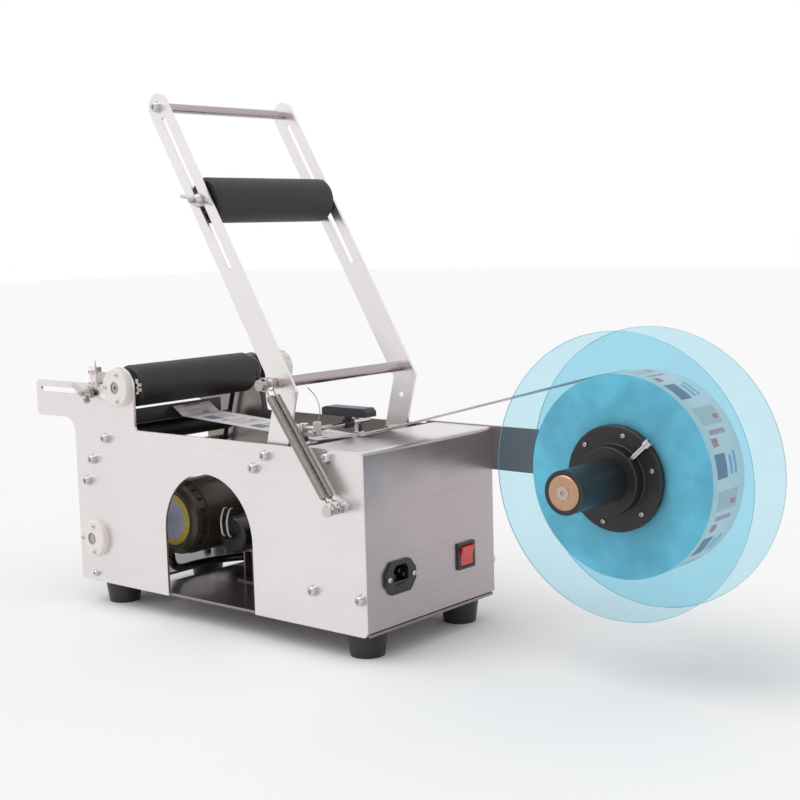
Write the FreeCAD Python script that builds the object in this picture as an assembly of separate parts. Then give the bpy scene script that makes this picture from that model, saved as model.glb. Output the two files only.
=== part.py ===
"""Bench-top bottle labelling machine, modelled as separate named pieces in millimetres.

Working frame of this file: X runs along the machine from the bottle end to the label spool,
Y from the spring side (near) to the spool-arm side (far), Z up. X = 0 is the front edge of the
side plates, Y = 0 the outer face of the near plate, Z = 0 the underside of the base.
The finished pieces are moved so that the origin is the underside of the front near foot.
"""

import FreeCAD, Part
import math
import os

V = FreeCAD.Vector

# ---------------------------------------------------------------- driving dimensions
# Box of sheet metal
machine_width = 220.0          # over the two side plates
plate_t = 3.0                  # side plates, base and foot bar
cover_t = 2.0                  # bent rear cover
body_length = 468.0            # side plate, front edge to rear edge
body_height = 192.0            # side plate, bottom edge to top edge
corner_r = 4.0                 # small sheet corners

# Front lug with the cradle slot
lug_length = 74.0
lug_bottom_z = 200.0
lug_top_z = 244.0
lug_corner_r = 6.0
lug_root_r = 18.0
slot_z = 233.0
slot_height = 6.4
slot_front_x = -65.0
slot_rear_x = 50.0

# Arch in the near plate, for reaching the motor
arch_x = 232.2
arch_r = 72.0
arch_leg_z = 78.5

# Main roller and its bearings
roller_x = 89.0
roller_z = 241.5
roller_r = 25.0
roller_start_y = 14.0
roller_end_y = 203.5
roller_chamfer = 3.5            # ends of the two large rollers
roller_shaft_r = 5.0
ear_r = 24.0
flange_r = 22.5
flange_t = 8.0
flange_lip = 1.5
bearing_r = 9.5
bearing_w = 5.0
bearing_mouth_r = 7.3
takeup_x = 31.5
takeup_z = 54.0
takeup_r = 15.0
knob_r = 24.0
knob_t = 14.0
knob_start_y = 256.0

# Fits
shaft_gap = 0.05               # radial, rotating shaft in its bearing
roller_gap = 0.08              # radial, free roller on its axle
slide_gap = 0.3                # sliding block beside its guide
touch_gap = 0.3                # round faces of different bodies lying together
screw_gap = 0.2                # radial, screw in its hole

# Idler roller, web rods and peel plate
idler_x = 60.5
idler_z = 179.0
idler_r = 12.0
idler_start_y = 21.0
idler_end_y = 199.0
rod_r = 4.0
peel_x = 86.0
peel_low_z = 195.0
peel_high_z = 213.0
peel_end_y = 163.0
peel_shelf = 34.0
peel_t = 1.5

# Press arm: two cranked bars on one pivot, held up by springs against the stop rod
pivot_x = 331.0
pivot_z = 180.0
pivot_r = 5.0
arm_t = 3.0
arm_width = 31.0
arm_outer_y = 9.0              # near bar, outer face
arm_far_inner_y = 208.0        # far bar, inner face
knee_x = 354.2
knee_z = 247.9
upper_lean = 30.5              # degrees from upright
lower_lean = 14.4
upper_length = 363.5           # knee to the centre of the rounded top
lower_length = 98.0            # knee to the centre of the rounded foot
arm_slot_w = 7.0
arm_slot_start = 156.0         # from the knee, centre of the slot's lower round
arm_slot_end = 346.0
top_bar_r = 5.25
low_bar_r = 6.0
low_bar_rise = 12.7            # lower crossbar above the knee
spare_hole_drop = 23.0         # free hole below the knee
stop_below_pivot = 15.3

# Press roller carriage in the arm's slots
press_along = 241.0            # from the knee, along the arm
press_roller_r = 25.3
press_start_y = 16.5
press_end_y = 203.5
press_axle_r = 5.0
stud_r = 3.0                   # M6 studs of the carriage and the cradle
washer_t = 1.5
block_length = 32.0
block_t = 3.0

# Extension springs
spring_anchor_x = 438.9
spring_anchor_z = 134.0
spring_r = 4.5
spring_near_y = -16.8
spring_far_y = -7.0
spring_post_r = 3.5
hook_wire_r = 0.8
hook_inner_r = 6.0
spring_post_end_y = -22.0

# Feet
foot_h = 28.0
foot_top_r = 22.5
foot_low_r = 18.5
foot_places = [(42.0, 30.0), (31.0, 178.0), (442.0, 30.0), (442.0, 190.0)]
foot_bar_front_x = 8.0
foot_bar_rear_x = 83.0
foot_bar_flange = 20.0
base_front_x = 117.0
base_tab_front_x = 384.0
base_tab_height = 52.0

# Rear cover
cover_front_x = 390.0
cover_bend_r = 3.0
cover_foot_gap = 4.5

# Label spool
spool_x = 720.9
spool_z = 179.8
disc_r = 138.7
disc_t = 3.0
near_disc_y = 77.0
far_disc_y = 141.6
label_r = 98.0
core_r = 41.0
core_wall = 3.0
tube_r = 20.5
tube_wall = 4.0
tube_start_y = -14.0
tube_end_y = 208.0
axle_r = 8.0
hub_r = 51.0
hub_t = 7.0
hub_boss_r = 33.0
hub_boss_t = 12.0
arm_bar_t = 5.0
arm_bar_low_z = 145.0
arm_bar_high_z = 195.0
arm_bar_front_x = 372.0
arm_bar_eye_r = 34.0
web_t = 0.5
web_width = 60.0

# Drive
motor_x = 130.0
motor_z = 81.5
motor_r = 45.0
motor_start_y = 36.0
motor_end_y = 140.0
gear_case = 88.0
gear_end_y = 199.0
gear_offset = 18.0
drive_pulley_r = 18.0
motor_pulley_r = 10.0
motor_shaft_r = 6.0
belt_t = 1.6
belt_w = 7.0
pulley_start_y = 205.0
capacitor_x = 203.0
capacitor_z = 65.5
capacitor_r = 21.5
capacitor_start_y = 64.0
capacitor_end_y = 128.0
cable_r = 5.0
control_box_x = 300.0
control_box_y = 120.0

# Power inlet and switch in the rear panel
inlet_y = 51.6
inlet_z = 55.7
inlet_w = 50.0
inlet_h = 35.0
switch_y = 166.0
switch_z = 56.4
switch_w = 31.0
switch_h = 30.0

# ---------------------------------------------------------------- shared values worked out
inner_near_y = plate_t
inner_far_y = machine_width - plate_t
panel_outer_x = body_length + cover_t
origin = V(foot_places[0][0], foot_places[0][1], -foot_h)


# ---------------------------------------------------------------- helpers
def save(name, *solids):
    """Move the solids into the row frame and write them as one node."""
    shape = solids[0] if len(solids) == 1 else Part.makeCompound(list(solids))
    shape = shape.copy()
    shape.translate(origin * -1)
    shape.exportStep("parts/" + name + ".step")


def box(x0, x1, y0, y1, z0, z1):
    return Part.makeBox(x1 - x0, y1 - y0, z1 - z0, V(x0, y0, z0))


def rod_y(x, z, r, y0, y1):
    """Cylinder along Y."""
    return Part.makeCylinder(r, y1 - y0, V(x, y0, z), V(0, 1, 0))


def tube_y(x, z, r_out, r_in, y0, y1):
    """Hollow cylinder along Y."""
    return rod_y(x, z, r_out, y0, y1).cut(rod_y(x, z, r_in, y0 - 1, y1 + 1))


def turned_y(x, z, profile):
    """Solid of revolution about an axis along Y, from (radius, y) corners."""
    points = [V(x + r, y, z) for r, y in profile]
    points.append(points[0])
    face = Part.Face(Part.makePolygon(points))
    return face.revolve(V(x, 0, z), V(0, 1, 0), 360)


def rounded_face(corners, place):
    """Flat face through (u, v, fillet radius) corners; place turns (u, v) into a point."""
    sides = []
    for i, (u, v, r) in enumerate(corners):
        here = place(u, v)
        if r == 0:
            sides.append((here, here, None))
            continue
        before = place(*corners[i - 1][:2]) - here
        after = place(*corners[(i + 1) % len(corners)][:2]) - here
        before.normalize()
        after.normalize()
        half = before.getAngle(after) / 2
        middle_way = before + after
        middle_way.normalize()
        centre = here + middle_way * (r / math.sin(half))
        setback = r / math.tan(half)
        sides.append((here + before * setback, here + after * setback, centre - middle_way * r))
    edges = []
    for i, (start, end, middle) in enumerate(sides):
        if middle:
            edges.append(Part.Arc(start, middle, end).toShape())
        following = sides[(i + 1) % len(sides)][0]
        if (following - end).Length > 1e-6:
            edges.append(Part.LineSegment(end, following).toShape())
    return Part.Face(Part.Wire(edges))


def sheet_y(corners, y0, y1):
    """Solid from an XZ outline, between two Y values."""
    return rounded_face(corners, lambda u, v: V(u, y0, v)).extrude(V(0, y1 - y0, 0))


def sheet_x(corners, x0, x1):
    """Solid from a YZ outline, between two X values."""
    return rounded_face(corners, lambda u, v: V(x0, u, v)).extrude(V(x1 - x0, 0, 0))


def slot_y(start, end, width, y0, y1):
    """Slot cutter in the XZ plane between two round centres (x, z)."""
    a = V(start[0], y0, start[1])
    b = V(end[0], y0, end[1])
    along = b - a
    along.normalize()
    side = V(-along.z, 0, along.x) * (width / 2)
    along = along * (width / 2)
    edges = [
        Part.LineSegment(a + side, b + side).toShape(),
        Part.Arc(b + side, b + along, b - side).toShape(),
        Part.LineSegment(b - side, a - side).toShape(),
        Part.Arc(a - side, a - along, a + side).toShape(),
    ]
    return Part.Face(Part.Wire(edges)).extrude(V(0, y1 - y0, 0))


def around_y(shape, x, z, count, first=0.0):
    """Copies of a shape turned evenly about an axis along Y."""
    copies = []
    for i in range(count):
        turned = shape.copy()
        turned.rotate(V(x, 0, z), V(0, 1, 0), first + i * 360.0 / count)
        copies.append(turned)
    return copies


def socket_screw(x, z, face_y, out, thread_r=3.0, shank=12.0):
    """Socket head screw with its washer; out is -1 or +1, the way the head points along Y."""
    washer_r = thread_r * 2.2
    washer_t = thread_r * 0.4
    head_r = thread_r * 1.66
    head_h = thread_r * 2.0
    key_r = thread_r * 0.8
    profile = [
        (0, -shank), (thread_r, -shank), (thread_r, 0), (washer_r, 0), (washer_r, washer_t),
        (head_r, washer_t), (head_r, washer_t + head_h - 0.8), (head_r - 0.8, washer_t + head_h),
        (key_r, washer_t + head_h), (key_r, washer_t + head_h * 0.45), (0, washer_t + head_h * 0.45),
    ]
    return turned_y(x, z, [(r, face_y + out * y) for r, y in profile])


def wing_nut(x, z, face_y, out, thread_r, lean):
    """Wing nut seated on a face: a conical hub with two rounded wings."""
    bore_r = thread_r + shaft_gap
    hub = turned_y(x, z, [
        (bore_r, face_y), (thread_r * 2.3, face_y), (thread_r * 1.8, face_y + out * 7.0),
        (bore_r, face_y + out * 7.0),
    ])
    wing_face = rounded_face(
        [(thread_r * 1.3, 1.0, 0), (16.0, 5.0, 2.0), (17.5, 14.0, 3.0), (12.0, 13.0, 2.5),
         (thread_r * 1.3, 6.5, 0)],
        lambda u, v: V(x + u, face_y + out * v, z - 1.2))
    wing = wing_face.extrude(V(0, 0, 2.4))
    wings = around_y(wing, x, z, 2, lean)
    return hub.fuse(wings).removeSplitter()


def on_arm(distance):
    """Point (x, z) on the centre line of the upper arm, measured from the knee."""
    lean = math.radians(upper_lean)
    return (knee_x - distance * math.sin(lean), knee_z + distance * math.cos(lean))


def on_leg(distance):
    """Point (x, z) on the centre line of the arm below the knee."""
    lean = math.radians(lower_lean)
    return (knee_x - distance * math.sin(lean), knee_z - distance * math.cos(lean))


# ---------------------------------------------------------------- places that several pieces share
rear_rod_place = (422.0, 185.3)
near_bolt_places = [(34.4, 151.5), (22.5, 124.5), rear_rod_place]
tab_bolt_places = [(395.8, 40.7), (462.7, 39.7)]
foot_bar_screw = (28.9, 9.9)
leg_at_stop = (knee_z - (pivot_z - stop_below_pivot)) / math.cos(math.radians(lower_lean))
edge_gap = arm_width / 2 + rod_r + touch_gap
stop_x = on_leg(leg_at_stop)[0] - edge_gap / math.cos(math.radians(lower_lean))
stop_z = pivot_z - stop_below_pivot
low_bar_x = knee_x - low_bar_rise * math.sin(math.radians(upper_lean))
low_bar_z = knee_z + low_bar_rise * math.cos(math.radians(upper_lean))
top_bar_x, top_bar_z = on_arm(upper_length)
press_x, press_z = on_arm(press_along)
gear_shaft_z = motor_z + gear_offset
arm_far_outer_y = arm_far_inner_y + arm_t
arm_near_inner_y = arm_outer_y + arm_t


# ---------------------------------------------------------------- sheet metal
def plate_outline(y0, y1):
    """Side plate without its arch: panel, front lug and round ear for the main roller."""
    ear_right = roller_x + ear_r
    cover_corner_r = cover_bend_r + 1.0
    panel = sheet_y([
        (0, 0, corner_r), (0, lug_bottom_z, lug_root_r), (-lug_length, lug_bottom_z, lug_corner_r),
        (-lug_length, lug_top_z, lug_corner_r), (ear_right, lug_top_z, lug_top_z - roller_z),
        (ear_right, body_height, corner_r), (body_length, body_height, cover_corner_r),
        (body_length, 0, corner_r)], y0, y1)
    ear = rod_y(roller_x, roller_z, ear_r, y0, y1)
    return panel.fuse(ear).removeSplitter()


def side_plate(y0, y1, has_arch):
    plate = plate_outline(y0, y1)
    cutters = [slot_y((slot_front_x + slot_height / 2, slot_z), (slot_rear_x - slot_height / 2, slot_z),
                      slot_height, y0 - 1, y1 + 1)]
    bolt_hole_r = 3.0 + screw_gap
    places = near_bolt_places + tab_bolt_places + [(idler_x, idler_z), (stop_x, stop_z),
                                                   (pivot_x, pivot_z)]
    for x, z in places:
        cutters.append(rod_y(x, z, bolt_hole_r, y0 - 1, y1 + 1))
    cutters.append(rod_y(foot_bar_screw[0], foot_bar_screw[1], 2.0 + screw_gap, y0 - 1, y1 + 1))
    for x, z in [(roller_x, roller_z), (takeup_x, takeup_z)]:
        cutters.append(rod_y(x, z, bearing_r, y0 - 1, y1 + 1))
    if has_arch:
        cutters.append(rod_y(arch_x, arch_leg_z, arch_r, y0 - 1, y1 + 1))
        cutters.append(box(arch_x - arch_r, arch_x + arch_r, y0 - 1, y1 + 1, -1, arch_leg_z))
    else:
        for x, z in spool_arm_bolts:
            cutters.append(rod_y(x, z, bolt_hole_r, y0 - 1, y1 + 1))
        for x, z in motor_bolts:
            cutters.append(rod_y(x, z, bolt_hole_r, y0 - 1, y1 + 1))
    return plate.cut(cutters)


spool_arm_bolts = [(396.0, 157.0), (396.0, 180.0), (440.0, 168.5)]
motor_bolt_spread = gear_case / 2 - 8.0
motor_bolts = [(motor_x + i * motor_bolt_spread, motor_z + j * motor_bolt_spread)
               for i in (-1, 1) for j in (-1, 1)]


def channel(x0, x1, height):
    """U-shaped sheet across the machine, open upwards, between the side plates."""
    y0 = inner_near_y
    y1 = inner_far_y
    r_out = plate_t + 1.0
    return sheet_x([
        (y0, 0, r_out), (y0, height, 0), (y0 + plate_t, height, 0), (y0 + plate_t, plate_t, 1.0),
        (y1 - plate_t, plate_t, 1.0), (y1 - plate_t, height, 0), (y1, height, 0), (y1, 0, r_out)],
        x0, x1)


def foot_screw_holes(shape):
    for x, y in foot_places:
        shape = shape.cut(Part.makeCylinder(3.0 + screw_gap, 20, V(x, y, -5)))
    return shape


def make_base():
    flat = box(base_front_x, base_tab_front_x, inner_near_y, inner_far_y, 0, plate_t)
    rear = channel(base_tab_front_x, body_length, base_tab_height)
    lip = box(body_length, panel_outer_x, inner_near_y, inner_far_y, 0, plate_t)
    base = flat.fuse([rear, lip])
    for x, z in tab_bolt_places:
        base = base.cut(rod_y(x, z, 3.0 + screw_gap, 0, machine_width))
    return foot_screw_holes(base).removeSplitter()


def make_foot_bar():
    bar = channel(foot_bar_front_x, foot_bar_rear_x, foot_bar_flange)
    bar = bar.cut(rod_y(foot_bar_screw[0], foot_bar_screw[1], 2.0 + screw_gap, 0, machine_width))
    return foot_screw_holes(bar)


def make_cover():
    """Top and rear panel of the electrics bay, one sheet with a bend."""
    top_z = body_height + cover_t
    outer_r = cover_bend_r + cover_t
    cover = sheet_y([
        (cover_front_x, body_height, 0), (cover_front_x, top_z, 0), (panel_outer_x, top_z, outer_r),
        (panel_outer_x, cover_foot_gap, 0), (body_length, cover_foot_gap, 0),
        (body_length, body_height, cover_bend_r)], 0, machine_width)
    inlet_cut = box(body_length - 1, panel_outer_x + 1, inlet_y - inlet_body_w / 2 - screw_gap,
                    inlet_y + inlet_body_w / 2 + screw_gap, inlet_z - inlet_h / 2 + 1.5,
                    inlet_z + inlet_h / 2 - 1.5)
    switch_cut = box(body_length - 1, panel_outer_x + 1, switch_y - switch_body_w / 2 - screw_gap,
                     switch_y + switch_body_w / 2 + screw_gap, switch_z - switch_body_h / 2 - screw_gap,
                     switch_z + switch_body_h / 2 + screw_gap)
    cover = cover.cut([inlet_cut, switch_cut])
    return cover


foot_stud_depth = 16.0


def make_feet():
    """Tapered rubber feet, each with a blind hole for its moulded stud."""
    feet = []
    for x, y in foot_places:
        cone = Part.makeCone(foot_low_r, foot_top_r, foot_h, V(x, y, -foot_h))
        hole = Part.makeCylinder(3.0, foot_stud_depth + 1, V(x, y, -foot_stud_depth))
        feet.append(cone.cut(hole))
    return feet


def make_foot_studs():
    """Studs of the feet, each with its nut on the base."""
    studs = []
    for x, y in foot_places:
        shank = Part.makeCylinder(3.0, foot_stud_depth + plate_t + 8.0, V(x, y, -foot_stud_depth))
        nut = Part.makeCylinder(5.5, 5.0, V(x, y, plate_t))
        studs.append(shank.fuse(nut).removeSplitter())
    return studs


# ---------------------------------------------------------------- rods and plate screws
def tapped_rod(x, z, r, y0=inner_near_y, y1=inner_far_y):
    """Round bar between the plates with a tapped hole in each end."""
    depth = 14.0
    tap = 3.0
    return rod_y(x, z, r, y0, y1).cut([rod_y(x, z, tap, y0 - 1, y0 + depth),
                                       rod_y(x, z, tap, y1 - depth, y1 + 1)])


def plate_screws():
    screws = []
    places = near_bolt_places + tab_bolt_places + [(idler_x, idler_z), (stop_x, stop_z),
                                                   (pivot_x, pivot_z)]
    for x, z in places:
        shank = plate_t * 2 + 3.0 if (x, z) in tab_bolt_places else 12.0
        over_arm = arm_bar_t if (x, z) == rear_rod_place else 0.0
        screws.append(socket_screw(x, z, 0, -1, shank=shank))
        screws.append(socket_screw(x, z, machine_width + over_arm, 1, shank=shank + over_arm))
    for face_y, out in ((0, -1), (machine_width, 1)):
        screws.append(socket_screw(foot_bar_screw[0], foot_bar_screw[1], face_y, out, 2.0, 8.0))
    return screws


# ---------------------------------------------------------------- bearings
def bearing_flange(x, z, face_y, out):
    """White plastic housing with a pocket for the ball bearing."""
    pocket_depth = flange_t - flange_lip
    profile = [
        (bearing_mouth_r, flange_t), (flange_r - 1.5, flange_t), (flange_r, flange_t - 1.5),
        (flange_r, 0), (bearing_r, 0), (bearing_r, pocket_depth), (bearing_mouth_r, pocket_depth),
    ]
    return turned_y(x, z, [(r, face_y + out * y) for r, y in profile])


def ball_bearing(x, z, face_y, out):
    """Bearing as one ring with the groove between its races."""
    start = flange_t - flange_lip - bearing_w
    bore = roller_shaft_r + shaft_gap
    profile = [
        (bore, start), (bearing_r, start), (bearing_r, start + bearing_w),
        (bearing_r - 2.0, start + bearing_w), (bearing_r - 2.0, start + bearing_w - 0.7),
        (bore + 1.4, start + bearing_w - 0.7), (bore + 1.4, start + bearing_w), (bore, start + bearing_w),
    ]
    return turned_y(x, z, [(r, face_y + out * y) for r, y in profile])


bearing_places = [(x, z, face_y, out) for x, z in ((roller_x, roller_z), (takeup_x, takeup_z))
                  for face_y, out in ((0, -1), (machine_width, 1))]


# ---------------------------------------------------------------- rollers
def make_main_shaft():
    """Shaft with the drive pulley's seat; a socket screw closes its near end."""
    near_end = -(flange_t - flange_lip) - 0.6
    shaft = rod_y(roller_x, roller_z, roller_shaft_r, near_end, knob_start_y + knob_t - 2)
    socket = rod_y(roller_x, roller_z, 2.4, near_end - 1, near_end + 3)
    return shaft.cut(socket)


def make_takeup_shaft():
    near_end = -(flange_t - flange_lip) - 0.6
    return rod_y(takeup_x, takeup_z, roller_shaft_r, near_end, machine_width - near_end)


def make_sleeve(x, z, r, bore_r, y0, y1, edge=1.0):
    """Rubber sleeve with eased ends."""
    return turned_y(x, z, [(bore_r, y0), (r - edge, y0), (r, y0 + edge), (r, y1 - edge),
                           (r - edge, y1), (bore_r, y1)])


def make_collar():
    """Split shaft collar beside the main roller, with its clamp screw lug."""
    y0 = 7.0
    y1 = roller_start_y - 0.6
    ring = tube_y(roller_x, roller_z, 14.0, roller_shaft_r, y0, y1)
    lug = box(roller_x + 10.0, roller_x + 24.0, y0, y1, roller_z - 5.0, roller_z + 5.0)
    lug = lug.fuse(Part.makeCylinder(2.5, 18.0, V(roller_x + 19.0, (y0 + y1) / 2, roller_z - 8.0)))
    split = box(roller_x + 4.0, roller_x + 26.0, y0 - 1, y1 + 1, roller_z - 0.75, roller_z + 0.75)
    hole = rod_y(roller_x, roller_z, roller_shaft_r, y0 - 1, y1 + 1)
    ring = ring.fuse(lug).cut([hole])
    return ring.cut(split.cut(Part.makeCylinder(2.5, 18.0, V(roller_x + 19.0, (y0 + y1) / 2,
                                                            roller_z - 8.0)))).removeSplitter()


def make_knob():
    """Hand wheel on the far end of the main shaft, with finger scallops."""
    y0 = knob_start_y
    wheel = turned_y(roller_x, roller_z, [
        (roller_shaft_r, y0), (knob_r - 1.5, y0), (knob_r, y0 + 1.5), (knob_r, y0 + knob_t - 1.5),
        (knob_r - 1.5, y0 + knob_t), (roller_shaft_r, y0 + knob_t)])
    scallop = rod_y(roller_x + knob_r + 2.0, roller_z, 3.5, y0 - 1, y0 + knob_t + 1)
    return wheel.cut(around_y(scallop, roller_x, roller_z, 12))


def make_pulley(x, z, r, bore_r):
    """Flanged belt pulley."""
    y0 = pulley_start_y
    y1 = y0 + belt_w + 0.6
    rim = 2.2
    return turned_y(x, z, [
        (bore_r, y0 - 1.0), (r + rim, y0 - 1.0), (r + rim, y0 - 0.2), (r, y0), (r, y1),
        (r + rim, y1 + 0.2), (r + rim, y1 + 1.0), (bore_r, y1 + 1.0)])


def belt_band(offset):
    """Outline of the belt loop round three pulleys, as a face at the given offset."""
    wheels = [(roller_x, roller_z, drive_pulley_r), (motor_x, gear_shaft_z, motor_pulley_r),
              (takeup_x, takeup_z, drive_pulley_r)]
    y = pulley_start_y + 0.3
    tangents = []
    for i, (x0, z0, r0) in enumerate(wheels):
        x1, z1, r1 = wheels[(i + 1) % 3]
        length = math.hypot(x1 - x0, z1 - z0)
        heading = math.atan2(z1 - z0, x1 - x0)
        tilt = math.acos((r0 - r1) / length)
        angle = heading + tilt
        a = V(x0 + (r0 + offset) * math.cos(angle), y, z0 + (r0 + offset) * math.sin(angle))
        b = V(x1 + (r1 + offset) * math.cos(angle), y, z1 + (r1 + offset) * math.sin(angle))
        tangents.append((a, b, angle))
    edges = []
    for i in range(3):
        a, b, angle = tangents[i]
        following = tangents[(i + 1) % 3]
        x1, z1, r1 = wheels[(i + 1) % 3]
        turn = (angle - following[2]) % (2 * math.pi)
        middle = angle - turn / 2
        edges.append(Part.LineSegment(a, b).toShape())
        edges.append(Part.Arc(b, V(x1 + (r1 + offset) * math.cos(middle), y,
                                   z1 + (r1 + offset) * math.sin(middle)), following[0]).toShape())
    return Part.Face(Part.Wire(edges))


def make_belt():
    outer = belt_band(touch_gap + belt_t).extrude(V(0, belt_w, 0))
    inner = belt_band(touch_gap).extrude(V(0, belt_w, 0))
    return outer.cut(inner)


# ---------------------------------------------------------------- press arm
def arm_bar(y0):
    """Cranked flat bar: rounded top and foot, long slot for the press roller."""
    y1 = y0 + arm_t
    w = arm_width / 2
    up = math.radians(upper_lean)
    down = math.radians(lower_lean)
    top = on_arm(upper_length + w)
    foot = on_leg(lower_length + w)
    up_side = (w * math.cos(up), w * math.sin(up))
    down_side = (w * math.cos(down), -w * math.sin(down))
    mitre = 1 + math.cos(up + down)
    knee_side = ((up_side[0] + down_side[0]) / mitre, (up_side[1] + down_side[1]) / mitre)
    bar = sheet_y([
        (foot[0] - down_side[0], foot[1] - down_side[1], w),
        (knee_x - knee_side[0], knee_z - knee_side[1], 0),
        (top[0] - up_side[0], top[1] - up_side[1], w), (top[0] + up_side[0], top[1] + up_side[1], w),
        (knee_x + knee_side[0], knee_z + knee_side[1], 2.0),
        (foot[0] + down_side[0], foot[1] + down_side[1], w)], y0, y1)
    cutters = [
        slot_y(on_arm(arm_slot_start), on_arm(arm_slot_end), arm_slot_w, y0 - 1, y1 + 1),
        rod_y(pivot_x, pivot_z, pivot_r + shaft_gap, y0 - 1, y1 + 1),
        rod_y(top_bar_x, top_bar_z, 3.0 + screw_gap, y0 - 1, y1 + 1),
        rod_y(low_bar_x, low_bar_z, 4.0, y0 - 1, y1 + 1),
        rod_y(*on_leg(spare_hole_drop), 3.0 + screw_gap, y0 - 1, y1 + 1),
    ]
    return bar.cut(cutters)


def make_low_bar():
    """Crossbar whose near end runs on through the bar as the springs' post."""
    bar = rod_y(low_bar_x, low_bar_z, low_bar_r, arm_near_inner_y, arm_far_inner_y)
    post = turned_y(low_bar_x, low_bar_z, [
        (0, arm_near_inner_y), (4.0, arm_near_inner_y), (4.0, arm_outer_y), (6.0, arm_outer_y),
        (6.0, 1.0), (spring_post_r, 1.0), (spring_post_r, -11.4), (5.0, -11.4), (5.0, -12.6),
        (spring_post_r, -12.6), (spring_post_r, spring_post_end_y), (6.0, spring_post_end_y),
        (6.0, spring_post_end_y - 2.0), (0, spring_post_end_y - 2.0)])
    far = rod_y(low_bar_x, low_bar_z, 4.0, arm_far_inner_y, arm_far_outer_y)
    return bar.fuse([post, far]).removeSplitter()


def make_top_bar():
    return tapped_rod(top_bar_x, top_bar_z, top_bar_r, arm_near_inner_y, arm_far_inner_y)


def arm_screws():
    near = socket_screw(top_bar_x, top_bar_z, arm_outer_y, -1)
    far = socket_screw(top_bar_x, top_bar_z, arm_far_outer_y, 1)
    low = socket_screw(low_bar_x, low_bar_z, arm_far_outer_y, 1, shank=0.0)
    return [near, far, low]


def pivot_spacers():
    """Spacers on the pivot rod that centre the bars between the plates."""
    play = 0.3
    spans = [(inner_near_y, arm_outer_y - play), (arm_far_outer_y + play, inner_far_y),
             (arm_near_inner_y + play, arm_near_inner_y + 8.0), (arm_far_inner_y - 8.0,
                                                               arm_far_inner_y - play)]
    return [tube_y(pivot_x, pivot_z, pivot_r + 3.0, pivot_r, y0, y1) for y0, y1 in spans]


# ---------------------------------------------------------------- press roller carriage
def slide_block(y0, y1):
    """Black guide block lying on the inner face of an arm bar."""
    lean = upper_lean
    block = box(-arm_width / 2 + 3.0, arm_width / 2 - 3.0, y0, y1, -block_length / 2, block_length / 2)
    block.rotate(V(0, 0, 0), V(0, 1, 0), -lean)
    block.translate(V(press_x, 0, press_z))
    return block.cut(rod_y(press_x, press_z, press_axle_r, y0 - 1, y1 + 1))


def slide_key(y0, y1):
    """Key that runs in the slot, turned with the arm."""
    half = arm_slot_w / 2 - slide_gap
    key = box(-half, half, y0, y1, -10.0, 10.0)
    key.rotate(V(0, 0, 0), V(0, 1, 0), -upper_lean)
    key.translate(V(press_x, 0, press_z))
    return key


def make_slide_blocks():
    blocks = []
    for inner_face, inward in ((arm_near_inner_y, 1), (arm_far_inner_y, -1)):
        start = inner_face + inward * slide_gap
        y0, y1 = sorted((start, start + inward * block_t))
        k0, k1 = sorted((start, inner_face - inward * (arm_t - 0.5)))
        block = slide_block(y0, y1).fuse(slide_key(k0, k1))
        block = block.cut(rod_y(press_x, press_z, 3.0, 0, machine_width))
        blocks.append(block.removeSplitter())
    return blocks


def make_press_axle():
    """Axle with threaded ends that pass through the slots."""
    inner0 = arm_near_inner_y + slide_gap
    inner1 = arm_far_inner_y - slide_gap
    thick = rod_y(press_x, press_z, press_axle_r, inner0 + block_t, inner1 - block_t)
    ends = rod_y(press_x, press_z, stud_r, arm_outer_y - 14.0, arm_far_outer_y + 14.0)
    near = arm_outer_y - slide_gap
    far = arm_far_outer_y + slide_gap
    washers = [tube_y(press_x, press_z, 8.0, stud_r, near - washer_t, near),
               tube_y(press_x, press_z, 8.0, stud_r, far, far + washer_t)]
    return [thick.fuse(ends).removeSplitter()] + washers


# ---------------------------------------------------------------- springs
def spring_direction():
    along = V(low_bar_x - spring_anchor_x, 0, low_bar_z - spring_anchor_z)
    length = along.Length
    along.normalize()
    return along, length


def hook(x, z, y):
    """Round eye of spring wire in the XZ plane."""
    return Part.makeTorus(hook_inner_r + hook_wire_r, hook_wire_r, V(x, y, z), V(0, 1, 0))


hook_shank = 5.0


def make_spring_bodies():
    """Closed coils of the two springs; their lower eyes pull against the post."""
    along, length = spring_direction()
    bodies = []
    start = hook_inner_r + 2 * hook_wire_r + hook_shank
    coil_length = length - 2 * start
    seat = hook_inner_r - spring_post_r - touch_gap
    for y in (spring_near_y, spring_far_y):
        base = V(spring_anchor_x, y, spring_anchor_z)
        eye_centre = base + along * seat
        coil = Part.makeCylinder(spring_r, coil_length, base + along * start, along)
        bore = Part.makeCylinder(spring_r - 1.6, coil_length - 8.0, base + along * (start + 4.0), along)
        shank_start = seat + hook_inner_r + hook_wire_r
        shank = Part.makeCylinder(hook_wire_r, start + 1.0 - shank_start, base + along * shank_start, along)
        eye = hook(eye_centre.x, eye_centre.z, y)
        bodies.append(coil.cut(bore).fuse([shank, eye]))
    return bodies


def make_spring_hooks():
    """Upper eyes of the springs, which follow the arm's post with room to spare."""
    along = spring_direction()[0]
    hooks = []
    for y in (spring_near_y, spring_far_y):
        top = V(low_bar_x, y, low_bar_z)
        start = top - along * (hook_inner_r + 2 * hook_wire_r + hook_shank)
        shank = Part.makeCylinder(hook_wire_r, hook_shank + hook_wire_r, start, along)
        hooks.append(hook(low_bar_x, low_bar_z, y).fuse(shank))
    return hooks


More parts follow.
